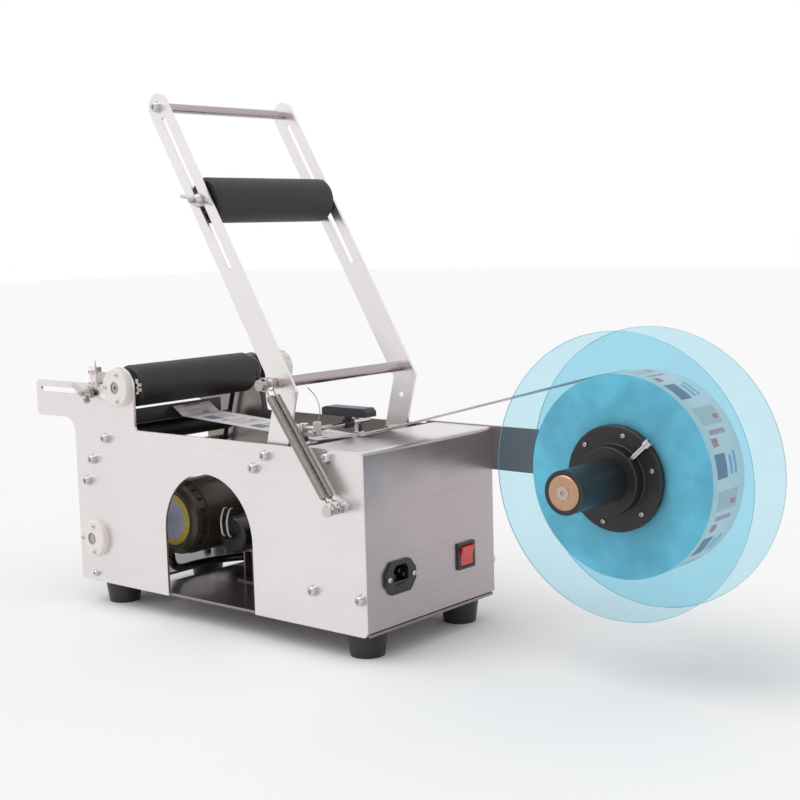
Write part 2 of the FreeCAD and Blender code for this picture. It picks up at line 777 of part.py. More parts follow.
def make_spring_post():
    """Shouldered stud on the near plate for the springs' lower eyes."""
    return turned_y(spring_anchor_x, spring_anchor_z, [
        (0, 8.0), (3.0, 8.0), (3.0, 0), (6.0, 0), (6.0, -2.5), (spring_post_r, -2.5),
        (spring_post_r, -11.4), (5.0, -11.4), (5.0, -12.6), (spring_post_r, -12.6),
        (spring_post_r, spring_post_end_y), (6.0, spring_post_end_y), (6.0, spring_post_end_y - 2.0),
        (0, spring_post_end_y - 2.0)])


# ---------------------------------------------------------------- bottle cradle in the lug slots
cradle_stud_x = 33.0
cradle_roller_r = 10.0
cradle_roller_xs = (12.0, 40.0)
cradle_roller_z = 229.0
cradle_plate_t = 2.0
cradle_clamp_t = 3.2
cradle_spacer_t = 3.5          # keeps the near wing nut clear of the clamp's screws


def cradle_plate(y0):
    outline = [(0, 217, 6), (0, 240, 6), (44, 240, 4), (50, 258, 2), (69, 258, 2), (60, 217, 8)]
    plate = sheet_y(outline, y0, y0 + cradle_plate_t)
    holes = [rod_y(x, cradle_roller_z, 3.0, y0 - 1, y0 + 5) for x in cradle_roller_xs]
    return plate.cut(holes)


def make_cradle_clamp():
    """Clamp on the near cradle plate that hooks over the lug, with two screws on its face."""
    inside = inner_near_y + slide_gap + cradle_plate_t
    outside = -slide_gap - cradle_clamp_t
    bridge = box(38.0, 50.0, outside, inside, lug_top_z + 2.0, 264.0)
    leaf = box(38.0, 50.0, outside, -slide_gap, 240.5, 264.0)
    heads = [socket_screw(44.0, z, outside, -1, 2.0, 2.0) for z in (245.2, 259.0)]
    return bridge.fuse([leaf] + heads)


def make_cradle_plates():
    near = cradle_plate(inner_near_y + slide_gap).fuse(make_cradle_clamp()).removeSplitter()
    return [near, cradle_plate(inner_far_y - slide_gap - cradle_plate_t)]


def make_cradle_studs():
    """Threaded studs of the cradle that pass out through the lug slots."""
    studs = []
    near = inner_near_y + slide_gap
    far = inner_far_y - slide_gap
    for start, out, face, spacer in ((near, -1, 0.0, cradle_spacer_t), (far, 1, machine_width, 0.0)):
        y0, y1 = sorted((start, face + out * (12.0 + spacer)))
        stud = rod_y(cradle_stud_x, slot_z, stud_r, y0, y1)
        washer_end = face + out * (slide_gap + washer_t)
        w0, w1 = sorted((face + out * slide_gap, washer_end))
        rings = [tube_y(cradle_stud_x, slot_z, 7.5, stud_r, w0, w1)]
        if spacer:
            s0, s1 = sorted((washer_end, washer_end + out * spacer))
            rings.append(tube_y(cradle_stud_x, slot_z, 5.5, stud_r, s0, s1))
        studs.append(stud.fuse(rings).removeSplitter())
    return studs


def make_cradle_axles():
    y0 = inner_near_y + slide_gap
    y1 = inner_far_y - slide_gap
    return [rod_y(x, cradle_roller_z, 3.0, y0, y1) for x in cradle_roller_xs]


# ---------------------------------------------------------------- spool
def make_spool_arm():
    """Flat bar bolted to the far plate, ending in an eye for the spool axle."""
    y0 = machine_width
    y1 = y0 + arm_bar_t
    bar = sheet_y([(arm_bar_front_x, arm_bar_low_z, 8.0), (arm_bar_front_x, arm_bar_high_z, 8.0),
                   (spool_x, arm_bar_high_z, 0), (spool_x, arm_bar_low_z, 0)], y0, y1)
    bar = bar.fuse(rod_y(spool_x, spool_z, arm_bar_eye_r, y0, y1))
    cutters = [rod_y(spool_x, spool_z, axle_r, y0 - 1, y1 + 1)]
    for x, z in spool_arm_bolts + [rear_rod_place]:
        cutters.append(rod_y(x, z, 3.0 + screw_gap, y0 - 1, y1 + 1))
    return bar.cut(cutters).removeSplitter()


def spool_arm_screws():
    screws = []
    for x, z in spool_arm_bolts:
        screw = socket_screw(x, z, machine_width + arm_bar_t, 1, shank=arm_bar_t + plate_t + 5.0)
        nut = tube_y(x, z, 5.5, 3.0, inner_far_y - 4.5, inner_far_y)
        screws.append(screw.fuse(nut).removeSplitter())
    return screws


def make_spool_axle():
    """Fixed axle: shoulder against the arm, nut behind it, screw and washer in front."""
    end = tube_start_y - 1.0
    arm_y = machine_width
    profile = [
        (0, end + 3.0), (2.5, end + 3.0), (2.5, end - 1.0), (6.0, end - 1.0), (6.0, end),
        (axle_r, end), (axle_r, tube_end_y + 1.0), (14.0, tube_end_y + 1.0), (14.0, arm_y),
        (axle_r, arm_y), (axle_r, arm_y + arm_bar_t), (12.0, arm_y + arm_bar_t),
        (12.0, arm_y + arm_bar_t + 9.0), (0, arm_y + arm_bar_t + 9.0),
    ]
    return turned_y(spool_x, spool_z, profile)


def make_spindle_tube():
    return tube_y(spool_x, spool_z, tube_r, tube_r - tube_wall, tube_start_y, tube_end_y)


def spindle_bearings():
    rings = []
    for y0 in (tube_start_y + 0.8, tube_end_y - 10.8):
        rings.append(turned_y(spool_x, spool_z, [
            (axle_r + shaft_gap, y0), (tube_r - tube_wall, y0), (tube_r - tube_wall, y0 + 10.0),
            (axle_r + shaft_gap, y0 + 10.0)]))
    return rings


def make_disc(y0):
    edge = 0.8
    return turned_y(spool_x, spool_z, [
        (tube_r + 0.6, y0), (disc_r - edge, y0), (disc_r, y0 + edge), (disc_r, y0 + disc_t - edge),
        (disc_r - edge, y0 + disc_t), (tube_r + 0.6, y0 + disc_t)])


def make_hub(face_y, out, bore_r):
    """Black hub flange with a raised boss, turned in one piece."""
    steps = [
        (bore_r, 0), (hub_r - 1.0, 0), (hub_r, 1.0), (hub_r, hub_t - 1.5), (hub_r - 1.5, hub_t),
        (hub_boss_r + 1.0, hub_t), (hub_boss_r, hub_t + 1.0), (hub_boss_r - 1.0, hub_t + hub_boss_t - 1.0),
        (hub_boss_r - 2.0, hub_t + hub_boss_t), (bore_r, hub_t + hub_boss_t),
    ]
    return turned_y(spool_x, spool_z, [(r, face_y + out * y) for r, y in steps])


def make_label_roll():
    y0 = near_disc_y + disc_t
    return tube_y(spool_x, spool_z, label_r, core_r, y0 + touch_gap, far_disc_y - touch_gap)


def make_core():
    y0 = near_disc_y + disc_t
    return tube_y(spool_x, spool_z, core_r, core_r - core_wall, y0 + touch_gap, far_disc_y - touch_gap)


def make_core_adapter():
    """Three-armed liner that centres the cardboard core on the tube."""
    y0 = near_disc_y + disc_t + 2.0
    y1 = far_disc_y - touch_gap
    ring = tube_y(spool_x, spool_z, tube_r + 3.0, tube_r, y0, y1)
    rib_outer = core_r - core_wall
    rib = box(spool_x + tube_r + 2.0, spool_x + rib_outer - 1.5, y0, y1, spool_z - 2.0, spool_z + 2.0)
    ribs = around_y(rib, spool_x, spool_z, 3, 90)
    rim = tube_y(spool_x, spool_z, rib_outer, rib_outer - 2.5, y0, y1)
    return ring.fuse(ribs + [rim]).removeSplitter()


lever_angle = 43.0
clamp_screw_r = 2.5
clamp_screw_length = 32.0


def make_clamp_screw():
    """Long radial screw of the near hub, with a socket head to turn it by."""
    radial = V(math.cos(math.radians(lever_angle)), 0, math.sin(math.radians(lever_angle)))
    y = near_disc_y - hub_t - hub_boss_t / 2
    start = V(spool_x, y, spool_z) + radial * (tube_r + 0.4)
    stem = Part.makeCylinder(clamp_screw_r, clamp_screw_length, start, radial)
    head_start = start + radial * (clamp_screw_length - 1.0)
    head = Part.makeCylinder(4.2, 6.5, head_start, radial)
    socket = Part.makeCylinder(2.0, 4.0, head_start + radial * 3.5, radial)
    return stem.fuse(head).cut(socket).removeSplitter()


def make_near_hub():
    hub = make_hub(near_disc_y, -1, tube_r + shaft_gap)
    radial = V(math.cos(math.radians(lever_angle)), 0, math.sin(math.radians(lever_angle)))
    y = near_disc_y - hub_t - hub_boss_t / 2
    hole = Part.makeCylinder(clamp_screw_r + shaft_gap, 60.0, V(spool_x, y, spool_z), radial)
    return hub.cut(hole)


# ---------------------------------------------------------------- label web
def strip(points, thickness, y0, y1):
    """Flat strip along a path of (x, z) points, its upper face on the path."""
    tops = []
    lows = []
    for i, (x, z) in enumerate(points):
        before = points[max(i - 1, 0)]
        after = points[min(i + 1, len(points) - 1)]
        dx = after[0] - before[0]
        dz = after[1] - before[1]
        length = math.hypot(dx, dz)
        normal = (-dz / length, dx / length)
        tops.append((x, z))
        lows.append((x - normal[0] * thickness, z - normal[1] * thickness))
    corners = [V(x, y0, z) for x, z in tops] + [V(x, y0, z) for x, z in reversed(lows)]
    corners.append(corners[0])
    return Part.Face(Part.makePolygon(corners)).extrude(V(0, y1 - y0, 0))


def roll_tangent(x, z):
    """Point where a line from (x, z) touches the top of the label roll."""
    dx = spool_x - x
    dz = spool_z - z
    distance = math.hypot(dx, dz)
    r = label_r + touch_gap
    heading = math.atan2(dz, dx)
    lift = math.asin(r / distance)
    reach = math.sqrt(distance ** 2 - r ** 2)
    return (x + reach * math.cos(heading + lift), z + reach * math.sin(heading + lift))


web_y0 = near_disc_y + disc_t + 0.6
cover_lip = (cover_front_x - 1.0, body_height + cover_t + touch_gap + web_t)


def make_web():
    """Label liner from the roll over the cover lip and the pivot rod towards the peel plate."""
    pivot_top = pivot_z + pivot_r + touch_gap + web_t
    path = [roll_tangent(*cover_lip), cover_lip, (pivot_x, pivot_top),
            (peel_x + 20.0, peel_high_z - 14.0), (peel_x + 3.0, peel_high_z - 3.0)]
    return strip(path, web_t, web_y0, web_y0 + web_width)


# ---------------------------------------------------------------- peel plate and web guides
def make_peel_plate():
    """Bent black sheet under the main roller, with end tabs on the near plate."""
    y0 = inner_near_y
    lip = sheet_y([
        (peel_x - peel_shelf, peel_low_z, 0), (peel_x, peel_low_z, 2.5), (peel_x, peel_high_z, 0),
        (peel_x - peel_t, peel_high_z, 0), (peel_x - peel_t, peel_low_z + peel_t, 1.0),
        (peel_x - peel_shelf, peel_low_z + peel_t, 0)], y0, peel_end_y)
    tab = box(peel_x - peel_shelf, peel_x - 6.0, y0, y0 + 1.5, peel_low_z, peel_low_z + 13.0)
    return lip.fuse(tab).removeSplitter()


guide_rod_r = 2.5
guide_x = 352.0
guide_z = 203.0
guide_near_y = 60.0
guide_far_y = 150.0


def make_guide_frame():
    """Bent rod that steers the web ahead of the cover, on two clips over the pivot rod."""
    bend = 8.0
    front_x = pivot_x - 16.0
    level = lambda u, v: V(u, v, guide_z)
    corners = [(front_x, guide_near_y), (guide_x, guide_near_y), (guide_x, guide_far_y),
               (front_x, guide_far_y)]
    outline = rounded_face([(x, y, bend if x == guide_x else 0) for x, y in corners], level)
    path_edges = [e for e in outline.OuterWire.Edges
                  if not all(abs(v.Point.x - front_x) < 0.01 for v in e.Vertexes)]
    path = Part.Wire(Part.__sortEdges__(path_edges))
    start = V(front_x, guide_near_y, guide_z)
    section = Part.Wire(Part.makeCircle(guide_rod_r, start, V(1, 0, 0)))
    rod = path.makePipeShell([section], True, True)
    clips = []
    for y in (guide_near_y, guide_far_y):
        ring = tube_y(pivot_x, pivot_z, pivot_r + 3.0, pivot_r, y - 5.0, y + 5.0)
        neck = box(pivot_x - 3.0, pivot_x + 3.0, y - 3.5, y + 3.5, pivot_z + pivot_r + 2.0, guide_z)
        cap = Part.makeCylinder(5.0, 9.0, V(pivot_x, y, guide_z - 4.5))
        rod_hole = Part.makeCylinder(guide_rod_r, 40, V(pivot_x - 20, y, guide_z), V(1, 0, 0))
        clips.append(ring.fuse([neck, cap]).cut(rod_hole).removeSplitter())
    return [rod] + clips


sensor_y = 110.0
sensor_x = 353.0
sensor_z = 217.0


def make_label_sensor():
    """Label gap sensor on its screw post over the guide rod."""
    half = 33.0
    x0 = sensor_x - half
    x1 = sensor_x + half
    z0 = sensor_z - 5.0
    z1 = sensor_z + 5.0
    body = sheet_y([(x0, z0, 1.5), (x0, z1 - 2.0, 1.5), (x0 + 5.0, z1, 1.0), (x1 - 4.0, z1, 1.0),
                    (x1, z1 - 4.0, 1.5), (x1, z0, 1.5)], sensor_y - 9.0, sensor_y + 9.0)
    post = Part.makeCylinder(4.5, z0 - guide_z - guide_rod_r,
                             V(guide_x, sensor_y, guide_z + guide_rod_r))
    clamp = tube_y(guide_x, guide_z, guide_rod_r + 3.0, guide_rod_r, sensor_y - 5.0, sensor_y + 5.0)
    hole = rod_y(guide_x, guide_z, guide_rod_r, sensor_y - 8.0, sensor_y + 8.0)
    return [body, post.fuse(clamp).cut(hole).removeSplitter()]


# ---------------------------------------------------------------- drive unit
def make_motor():
    """Motor can with end cap, rim and cooling slots."""
    can = turned_y(motor_x, motor_z, [
        (0, motor_start_y + 2.0), (31.0, motor_start_y + 2.0), (31.0, motor_start_y),
        (motor_r - 9.0, motor_start_y), (motor_r - 3.0, motor_start_y + 3.0),
        (motor_r - 1.5, motor_start_y + 8.0), (motor_r - 1.5, motor_start_y + 20.0),
        (motor_r, motor_start_y + 20.0), (motor_r, motor_end_y), (0, motor_end_y)])
    gland = Part.makeCylinder(cable_r + 2.0, 20.0, V(gland_x, gland_y, gland_z))
    return can.fuse(gland).cut(vent_slots()).removeSplitter()


def vent_slots():
    slot = box(motor_x - 2.0, motor_x + 2.0, motor_start_y + 10.0, motor_start_y + 17.0,
               motor_z + motor_r - 4.0, motor_z + motor_r + 2.0)
    return around_y(slot, motor_x, motor_z, 20)


def make_gear_case():
    half = gear_case / 2
    face = rounded_face([(motor_x - half, motor_z - half, 8), (motor_x - half, motor_z + half, 8),
                         (motor_x + half, motor_z + half, 8), (motor_x + half, motor_z - half, 8)],
                        lambda u, v: V(u, motor_end_y, v))
    case = face.extrude(V(0, gear_end_y - motor_end_y, 0))
    return case.cut(rod_y(motor_x, gear_shaft_z, motor_shaft_r + shaft_gap, gear_end_y - 25.0,
                          gear_end_y + 1))


def motor_spacers():
    """Spacers and screws that hold the gear case off the far plate."""
    pieces = []
    for x, z in motor_bolts:
        pieces.append(tube_y(x, z, 6.0, 3.0, gear_end_y, inner_far_y))
    return pieces


def motor_screws():
    return [socket_screw(x, z, machine_width, 1, shank=machine_width - gear_end_y) for x, z in motor_bolts]


def make_motor_shaft():
    return rod_y(motor_x, gear_shaft_z, motor_shaft_r, gear_end_y - 20.0, pulley_start_y + belt_w + 1.4)


def make_capacitor():
    body = turned_y(capacitor_x, capacitor_z, [
        (0, capacitor_start_y), (capacitor_r - 2.0, capacitor_start_y),
        (capacitor_r, capacitor_start_y + 2.0), (capacitor_r, capacitor_end_y), (0, capacitor_end_y)])
    tabs = []
    for dx in (-5.0, 5.0):
        tabs.append(box(capacitor_x + dx - 0.5, capacitor_x + dx + 0.5, capacitor_start_y - 8.0,
                        capacitor_start_y, capacitor_z - 3.0, capacitor_z + 3.0))
    return [body] + tabs


def make_capacitor_clip():
    """Strap that stands on the base and holds the capacitor."""
    y0 = (capacitor_start_y + capacitor_end_y) / 2 - 7.0
    y1 = y0 + 14.0
    ring = tube_y(capacitor_x, capacitor_z, capacitor_r + 1.5, capacitor_r, y0, y1)
    leg = box(capacitor_x - 8.0, capacitor_x + 8.0, y0, y1, plate_t + 2.0, capacitor_z - capacitor_r)
    leg = leg.cut(box(capacitor_x - 6.0, capacitor_x + 6.0, y0 - 1, y1 + 1, plate_t + 1.0,
                      capacitor_z - capacitor_r - 3.0))
    foot = box(capacitor_x - 20.0, capacitor_x + 20.0, y0, y1, plate_t, plate_t + 2.0)
    hole = rod_y(capacitor_x, capacitor_z, capacitor_r, y0 - 1, y1 + 1)
    return ring.fuse([leg, foot]).cut(hole).removeSplitter()


def round_cable(points, r):
    """Round cable along straight runs joined by tangent arcs, each as large as its runs allow."""
    edges = []
    last = V(*points[0])
    for i in range(1, len(points) - 1):
        here = V(*points[i])
        back = V(*points[i - 1]) - here
        ahead = V(*points[i + 1]) - here
        half = back.getAngle(ahead) / 2
        setback = 0.45 * min(back.Length, ahead.Length)
        radius = setback * math.tan(half)
        back.normalize()
        ahead.normalize()
        middle_way = back + ahead
        middle_way.normalize()
        centre = here + middle_way * (radius / math.sin(half))
        edges.append(Part.LineSegment(last, here + back * setback).toShape())
        edges.append(Part.Arc(here + back * setback, centre - middle_way * radius,
                              here + ahead * setback).toShape())
        last = here + ahead * setback
    edges.append(Part.LineSegment(last, V(*points[-1])).toShape())
    start = V(*points[0])
    section = Part.Wire(Part.makeCircle(r, start, V(*points[1]) - start))
    return Part.Wire(edges).makePipeShell([section], True, True)


gland_x = 104.0
gland_y = 54.0
gland_z = 34.0
motor_cable_route = [(gland_x, gland_y, gland_z), (gland_x, gland_y, 20.0),
                     (98.0, 72.0, 10.0), (92.0, 104.0, 9.0), (102.0, 140.0, 9.5),
                     (130.0, 164.0, 12.0), (170.0, 173.0, 14.0), (214.0, 171.0, 13.0),
                     (258.0, 164.0, 12.0), (control_box_x, 164.0, 12.0)]


def make_motor_cable():
    return round_cable(motor_cable_route, cable_r)


def make_control_box():
    """Closed case of the speed control on the base, behind the arch."""
    length = 76.0
    width = 80.0
    case = box(control_box_x, control_box_x + length, control_box_y, control_box_y + width, plate_t, 62.0)
    upright = [e for e in case.Edges if abs(e.Vertexes[0].Point.z - e.Vertexes[1].Point.z) > 1]
    return case.makeFillet(4.0, upright)


# ---------------------------------------------------------------- inlet and switch
inlet_body_w = 28.0
inlet_flange_t = 3.0
inlet_depth = 26.0
drawer_w = 18.0
drawer_h = 8.0
drawer_drop = 11.0
switch_body_w = 26.0
switch_body_h = 25.0
switch_depth = 22.0
rocker_w = 21.0
rocker_h = 22.0
rocker_tilt = 9.0
rocker_pivot_x = panel_outer_x + 1.0


def make_inlet():
    """Panel inlet: flange with two lugs, deep socket with three flat pins, fuse drawer bay."""
    face = rounded_face([
        (inlet_y - inlet_w / 2, inlet_z - 6.0, 4), (inlet_y - inlet_w / 2, inlet_z + 6.0, 4),
        (inlet_y - 15.5, inlet_z + inlet_h / 2, 3), (inlet_y + 15.5, inlet_z + inlet_h / 2, 3),
        (inlet_y + inlet_w / 2, inlet_z + 6.0, 4), (inlet_y + inlet_w / 2, inlet_z - 6.0, 4),
        (inlet_y + 15.5, inlet_z - inlet_h / 2, 3), (inlet_y - 15.5, inlet_z - inlet_h / 2, 3)],
        lambda u, v: V(panel_outer_x, u, v))
    flange = face.extrude(V(inlet_flange_t, 0, 0))
    body = box(panel_outer_x - inlet_depth, panel_outer_x, inlet_y - inlet_body_w / 2,
               inlet_y + inlet_body_w / 2, inlet_z - inlet_h / 2 + 1.7, inlet_z + inlet_h / 2 - 1.7)
    socket = rounded_face([
        (inlet_y - 12.0, inlet_z - 4.0, 1.5), (inlet_y - 12.0, inlet_z + 8.0, 1.5),
        (inlet_y - 8.0, inlet_z + 13.0, 1.5), (inlet_y + 8.0, inlet_z + 13.0, 1.5),
        (inlet_y + 12.0, inlet_z + 8.0, 1.5), (inlet_y + 12.0, inlet_z - 4.0, 1.5)],
        lambda u, v: V(panel_outer_x - 15.0, u, v)).extrude(V(30, 0, 0))
    bay = box(panel_outer_x - 18.0, panel_outer_x + 10.0, inlet_y - drawer_w / 2 - slide_gap,
              inlet_y + drawer_w / 2 + slide_gap, inlet_z - drawer_drop - drawer_h / 2 - slide_gap,
              inlet_z - drawer_drop + drawer_h / 2 + slide_gap)
    return flange.fuse(body).cut([socket, bay]).removeSplitter()


def make_inlet_pins():
    pins = []
    for dy, dz in ((-7.0, 1.0), (7.0, 1.0), (0.0, 6.0)):
        pins.append(box(panel_outer_x - 15.0, panel_outer_x + 0.5, inlet_y + dy - 1.0, inlet_y + dy + 1.0,
                        inlet_z + dz - 2.0, inlet_z + dz + 2.0))
    return pins


def make_fuse_drawer():
    """Fuse tray with a finger lip on its face."""
    z = inlet_z - drawer_drop
    y0 = inlet_y - drawer_w / 2
    y1 = inlet_y + drawer_w / 2
    face_x = panel_outer_x + inlet_flange_t
    top = z + drawer_h / 2
    low = z - drawer_h / 2
    tray = box(panel_outer_x - 17.0, face_x, y0, y1, low, top)
    pocket = box(panel_outer_x - 15.0, panel_outer_x - 1.0, y0 + 2.0, y1 - 2.0, low + 2.0, top + 1)
    lip = box(face_x, face_x + 1.2, inlet_y - 5.0, inlet_y + 5.0, top - 2.0, top)
    return tray.cut(pocket).fuse(lip).removeSplitter()


def make_switch_frame():
    frame_t = 2.5
    y0 = switch_y - switch_w / 2
    y1 = switch_y + switch_w / 2
    z0 = switch_z - switch_h / 2
    z1 = switch_z + switch_h / 2
    bezel = sheet_x([(y0, z0, 1.5), (y0, z1, 1.5), (y1, z1, 1.5), (y1, z0, 1.5)],
                    panel_outer_x, panel_outer_x + frame_t)
    body = box(panel_outer_x - switch_depth, panel_outer_x, switch_y - switch_body_w / 2,
               switch_y + switch_body_w / 2, switch_z - switch_body_h / 2, switch_z + switch_body_h / 2)
    bay = box(panel_outer_x - 10.0, panel_outer_x + 5.0, switch_y - rocker_w / 2 - slide_gap,
              switch_y + rocker_w / 2 + slide_gap, switch_z - rocker_h / 2 - 0.9,
              switch_z + rocker_h / 2 + 0.9)
    return bezel.fuse(body).cut(bay).removeSplitter()


def make_rocker():
    """Rocker with a dished face, resting with its lower end pressed in."""
    y0 = switch_y - rocker_w / 2
    h = rocker_h / 2
    x = rocker_pivot_x
    rocker = sheet_y([(x - 3.0, switch_z - h, 0.8), (x + 3.4, switch_z - h, 1.0), (x + 1.8, switch_z, 0),
                      (x + 3.4, switch_z + h, 1.0), (x - 3.0, switch_z + h, 0.8), (x - 5.0, switch_z, 0)],
                     y0, y0 + rocker_w)
    rocker.rotate(V(x, 0, switch_z), V(0, 1, 0), rocker_tilt)
    return rocker


# ---------------------------------------------------------------- write the nodes
def main():
    os.makedirs("parts", exist_ok=True)

    post_hole = rod_y(spring_anchor_x, spring_anchor_z, 3.0, -1, plate_t + 1)
    save("side_plate_near", side_plate(0, plate_t, True).cut(post_hole))
    save("side_plate_far", side_plate(inner_far_y, machine_width, False))
    save("base_plate", make_base())
    save("front_foot_bar", make_foot_bar())
    save("rear_cover", make_cover())
    save("rubber_feet", *make_feet())
    rod_places = near_bolt_places + [(stop_x, stop_z), (idler_x, idler_z)]
    save("web_rods", *[tapped_rod(x, z, rod_r) for x, z in rod_places])
    save("machine_screws", *(plate_screws() + spool_arm_screws() + motor_screws() + make_foot_studs()))

    save("bearing_flanges", *[bearing_flange(*place) for place in bearing_places])
    save("ball_bearings", *[ball_bearing(*place) for place in bearing_places])

    save("main_roller_shaft", make_main_shaft(),
         make_pulley(roller_x, roller_z, drive_pulley_r, roller_shaft_r))
    save("main_roller_rubber", make_sleeve(roller_x, roller_z, roller_r, roller_shaft_r,
                                           roller_start_y, roller_end_y, roller_chamfer))
    save("main_roller_collar", make_collar())
    save("hand_wheel", make_knob())
    save("takeup_shaft", make_takeup_shaft(), make_pulley(takeup_x, takeup_z, drive_pulley_r,
                                                          roller_shaft_r))
    save("takeup_drum", make_sleeve(takeup_x, takeup_z, takeup_r, roller_shaft_r, 40.0, 180.0))
    save("motor_output", make_motor_shaft(), make_pulley(motor_x, gear_shaft_z, motor_pulley_r,
                                                         motor_shaft_r))
    save("drive_belt", make_belt())

    save("idler_roller", make_sleeve(idler_x, idler_z, idler_r, rod_r + roller_gap,
                                     idler_start_y, idler_end_y))
    save("peel_plate", make_peel_plate())
    save("guide_frame", *make_guide_frame())
    save("label_sensor", *make_label_sensor())

    save("press_arm_bars", arm_bar(arm_outer_y), arm_bar(arm_far_inner_y))
    save("press_arm_top_bar", make_top_bar())
    save("press_arm_low_bar", make_low_bar())
    save("press_arm_screws", *arm_screws())
    save("press_arm_pivot", tapped_rod(pivot_x, pivot_z, pivot_r), *pivot_spacers())

    save("press_slide_blocks", *make_slide_blocks())
    save("press_axle", *make_press_axle())
    save("press_roller", make_sleeve(press_x, press_z, press_roller_r, press_axle_r + roller_gap,
                                     press_start_y, press_end_y, roller_chamfer))
    nut_seat = slide_gap + washer_t
    save("press_wing_nuts", wing_nut(press_x, press_z, arm_outer_y - nut_seat, -1, stud_r, 20),
         wing_nut(press_x, press_z, arm_far_outer_y + nut_seat, 1, stud_r, 60))

    save("spring_coils", *make_spring_bodies())
    save("spring_hooks", *make_spring_hooks())
    save("spring_post", make_spring_post())

    save("cradle_plates", *make_cradle_plates())
    save("cradle_studs", *(make_cradle_studs() + make_cradle_axles()))
    for number, x in enumerate(cradle_roller_xs, 1):
        save("cradle_roller_" + str(number), make_sleeve(x, cradle_roller_z, cradle_roller_r,
                                                         stud_r + roller_gap, 12.0, 203.0))
    save("cradle_wing_nuts", wing_nut(cradle_stud_x, slot_z, -nut_seat - cradle_spacer_t, -1, stud_r, 40),
         wing_nut(cradle_stud_x, slot_z, machine_width + nut_seat, 1, stud_r, 40))

    save("spool_arm", make_spool_arm())
    save("spool_axle", make_spool_axle())
    save("spindle_tube", make_spindle_tube(), *spindle_bearings())
    save("spool_disc_far", make_disc(far_disc_y))
    save("spool_disc_near", make_disc(near_disc_y))
    save("spool_hub_far", make_hub(far_disc_y + disc_t, 1, tube_r))
    save("spool_hub_near", make_near_hub())
    save("spool_clamp_screw", make_clamp_screw())
    save("label_roll", make_label_roll(), make_core())
    save("core_adapter", make_core_adapter())
    save("label_web", make_web())

    save("motor_body", make_motor())
    save("motor_gear_case", make_gear_case())
    save("mounting_brackets", *(motor_spacers() + [make_capacitor_clip()]))
    save("capacitor", *make_capacitor())
    save("motor_cable", make_motor_cable())
    save("control_box", make_control_box())

    save("power_inlet", make_inlet(), *make_inlet_pins())
    save("fuse_drawer", make_fuse_drawer())
    save("switch_frame", make_switch_frame())
    save("rocker_switch", make_rocker())


main()
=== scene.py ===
"""Bench-top bottle labelling machine: looks, small pieces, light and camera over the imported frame."""

import math

import bmesh
import bpy
from mathutils import Matrix, Vector


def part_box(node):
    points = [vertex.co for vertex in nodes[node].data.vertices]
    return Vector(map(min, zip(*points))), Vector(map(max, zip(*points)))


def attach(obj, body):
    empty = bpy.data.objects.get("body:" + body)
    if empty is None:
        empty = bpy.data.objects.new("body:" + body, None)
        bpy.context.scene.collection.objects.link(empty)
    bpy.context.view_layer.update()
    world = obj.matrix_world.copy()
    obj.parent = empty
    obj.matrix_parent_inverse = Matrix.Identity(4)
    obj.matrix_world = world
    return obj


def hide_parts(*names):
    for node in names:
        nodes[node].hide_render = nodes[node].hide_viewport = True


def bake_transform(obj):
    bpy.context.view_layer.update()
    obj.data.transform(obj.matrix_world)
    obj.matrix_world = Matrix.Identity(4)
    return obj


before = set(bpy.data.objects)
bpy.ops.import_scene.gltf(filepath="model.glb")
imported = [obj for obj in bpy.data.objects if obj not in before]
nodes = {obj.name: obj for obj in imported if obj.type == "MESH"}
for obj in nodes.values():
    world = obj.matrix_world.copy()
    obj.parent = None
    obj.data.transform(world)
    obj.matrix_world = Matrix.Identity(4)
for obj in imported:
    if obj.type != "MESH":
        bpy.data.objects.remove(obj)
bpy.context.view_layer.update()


# ---------------------------------------------------------------- places read from the frame
def middle(node):
    low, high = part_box(node)
    return (Vector(low) + Vector(high)) / 2


def near_face(node):
    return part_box(node)[0][1]


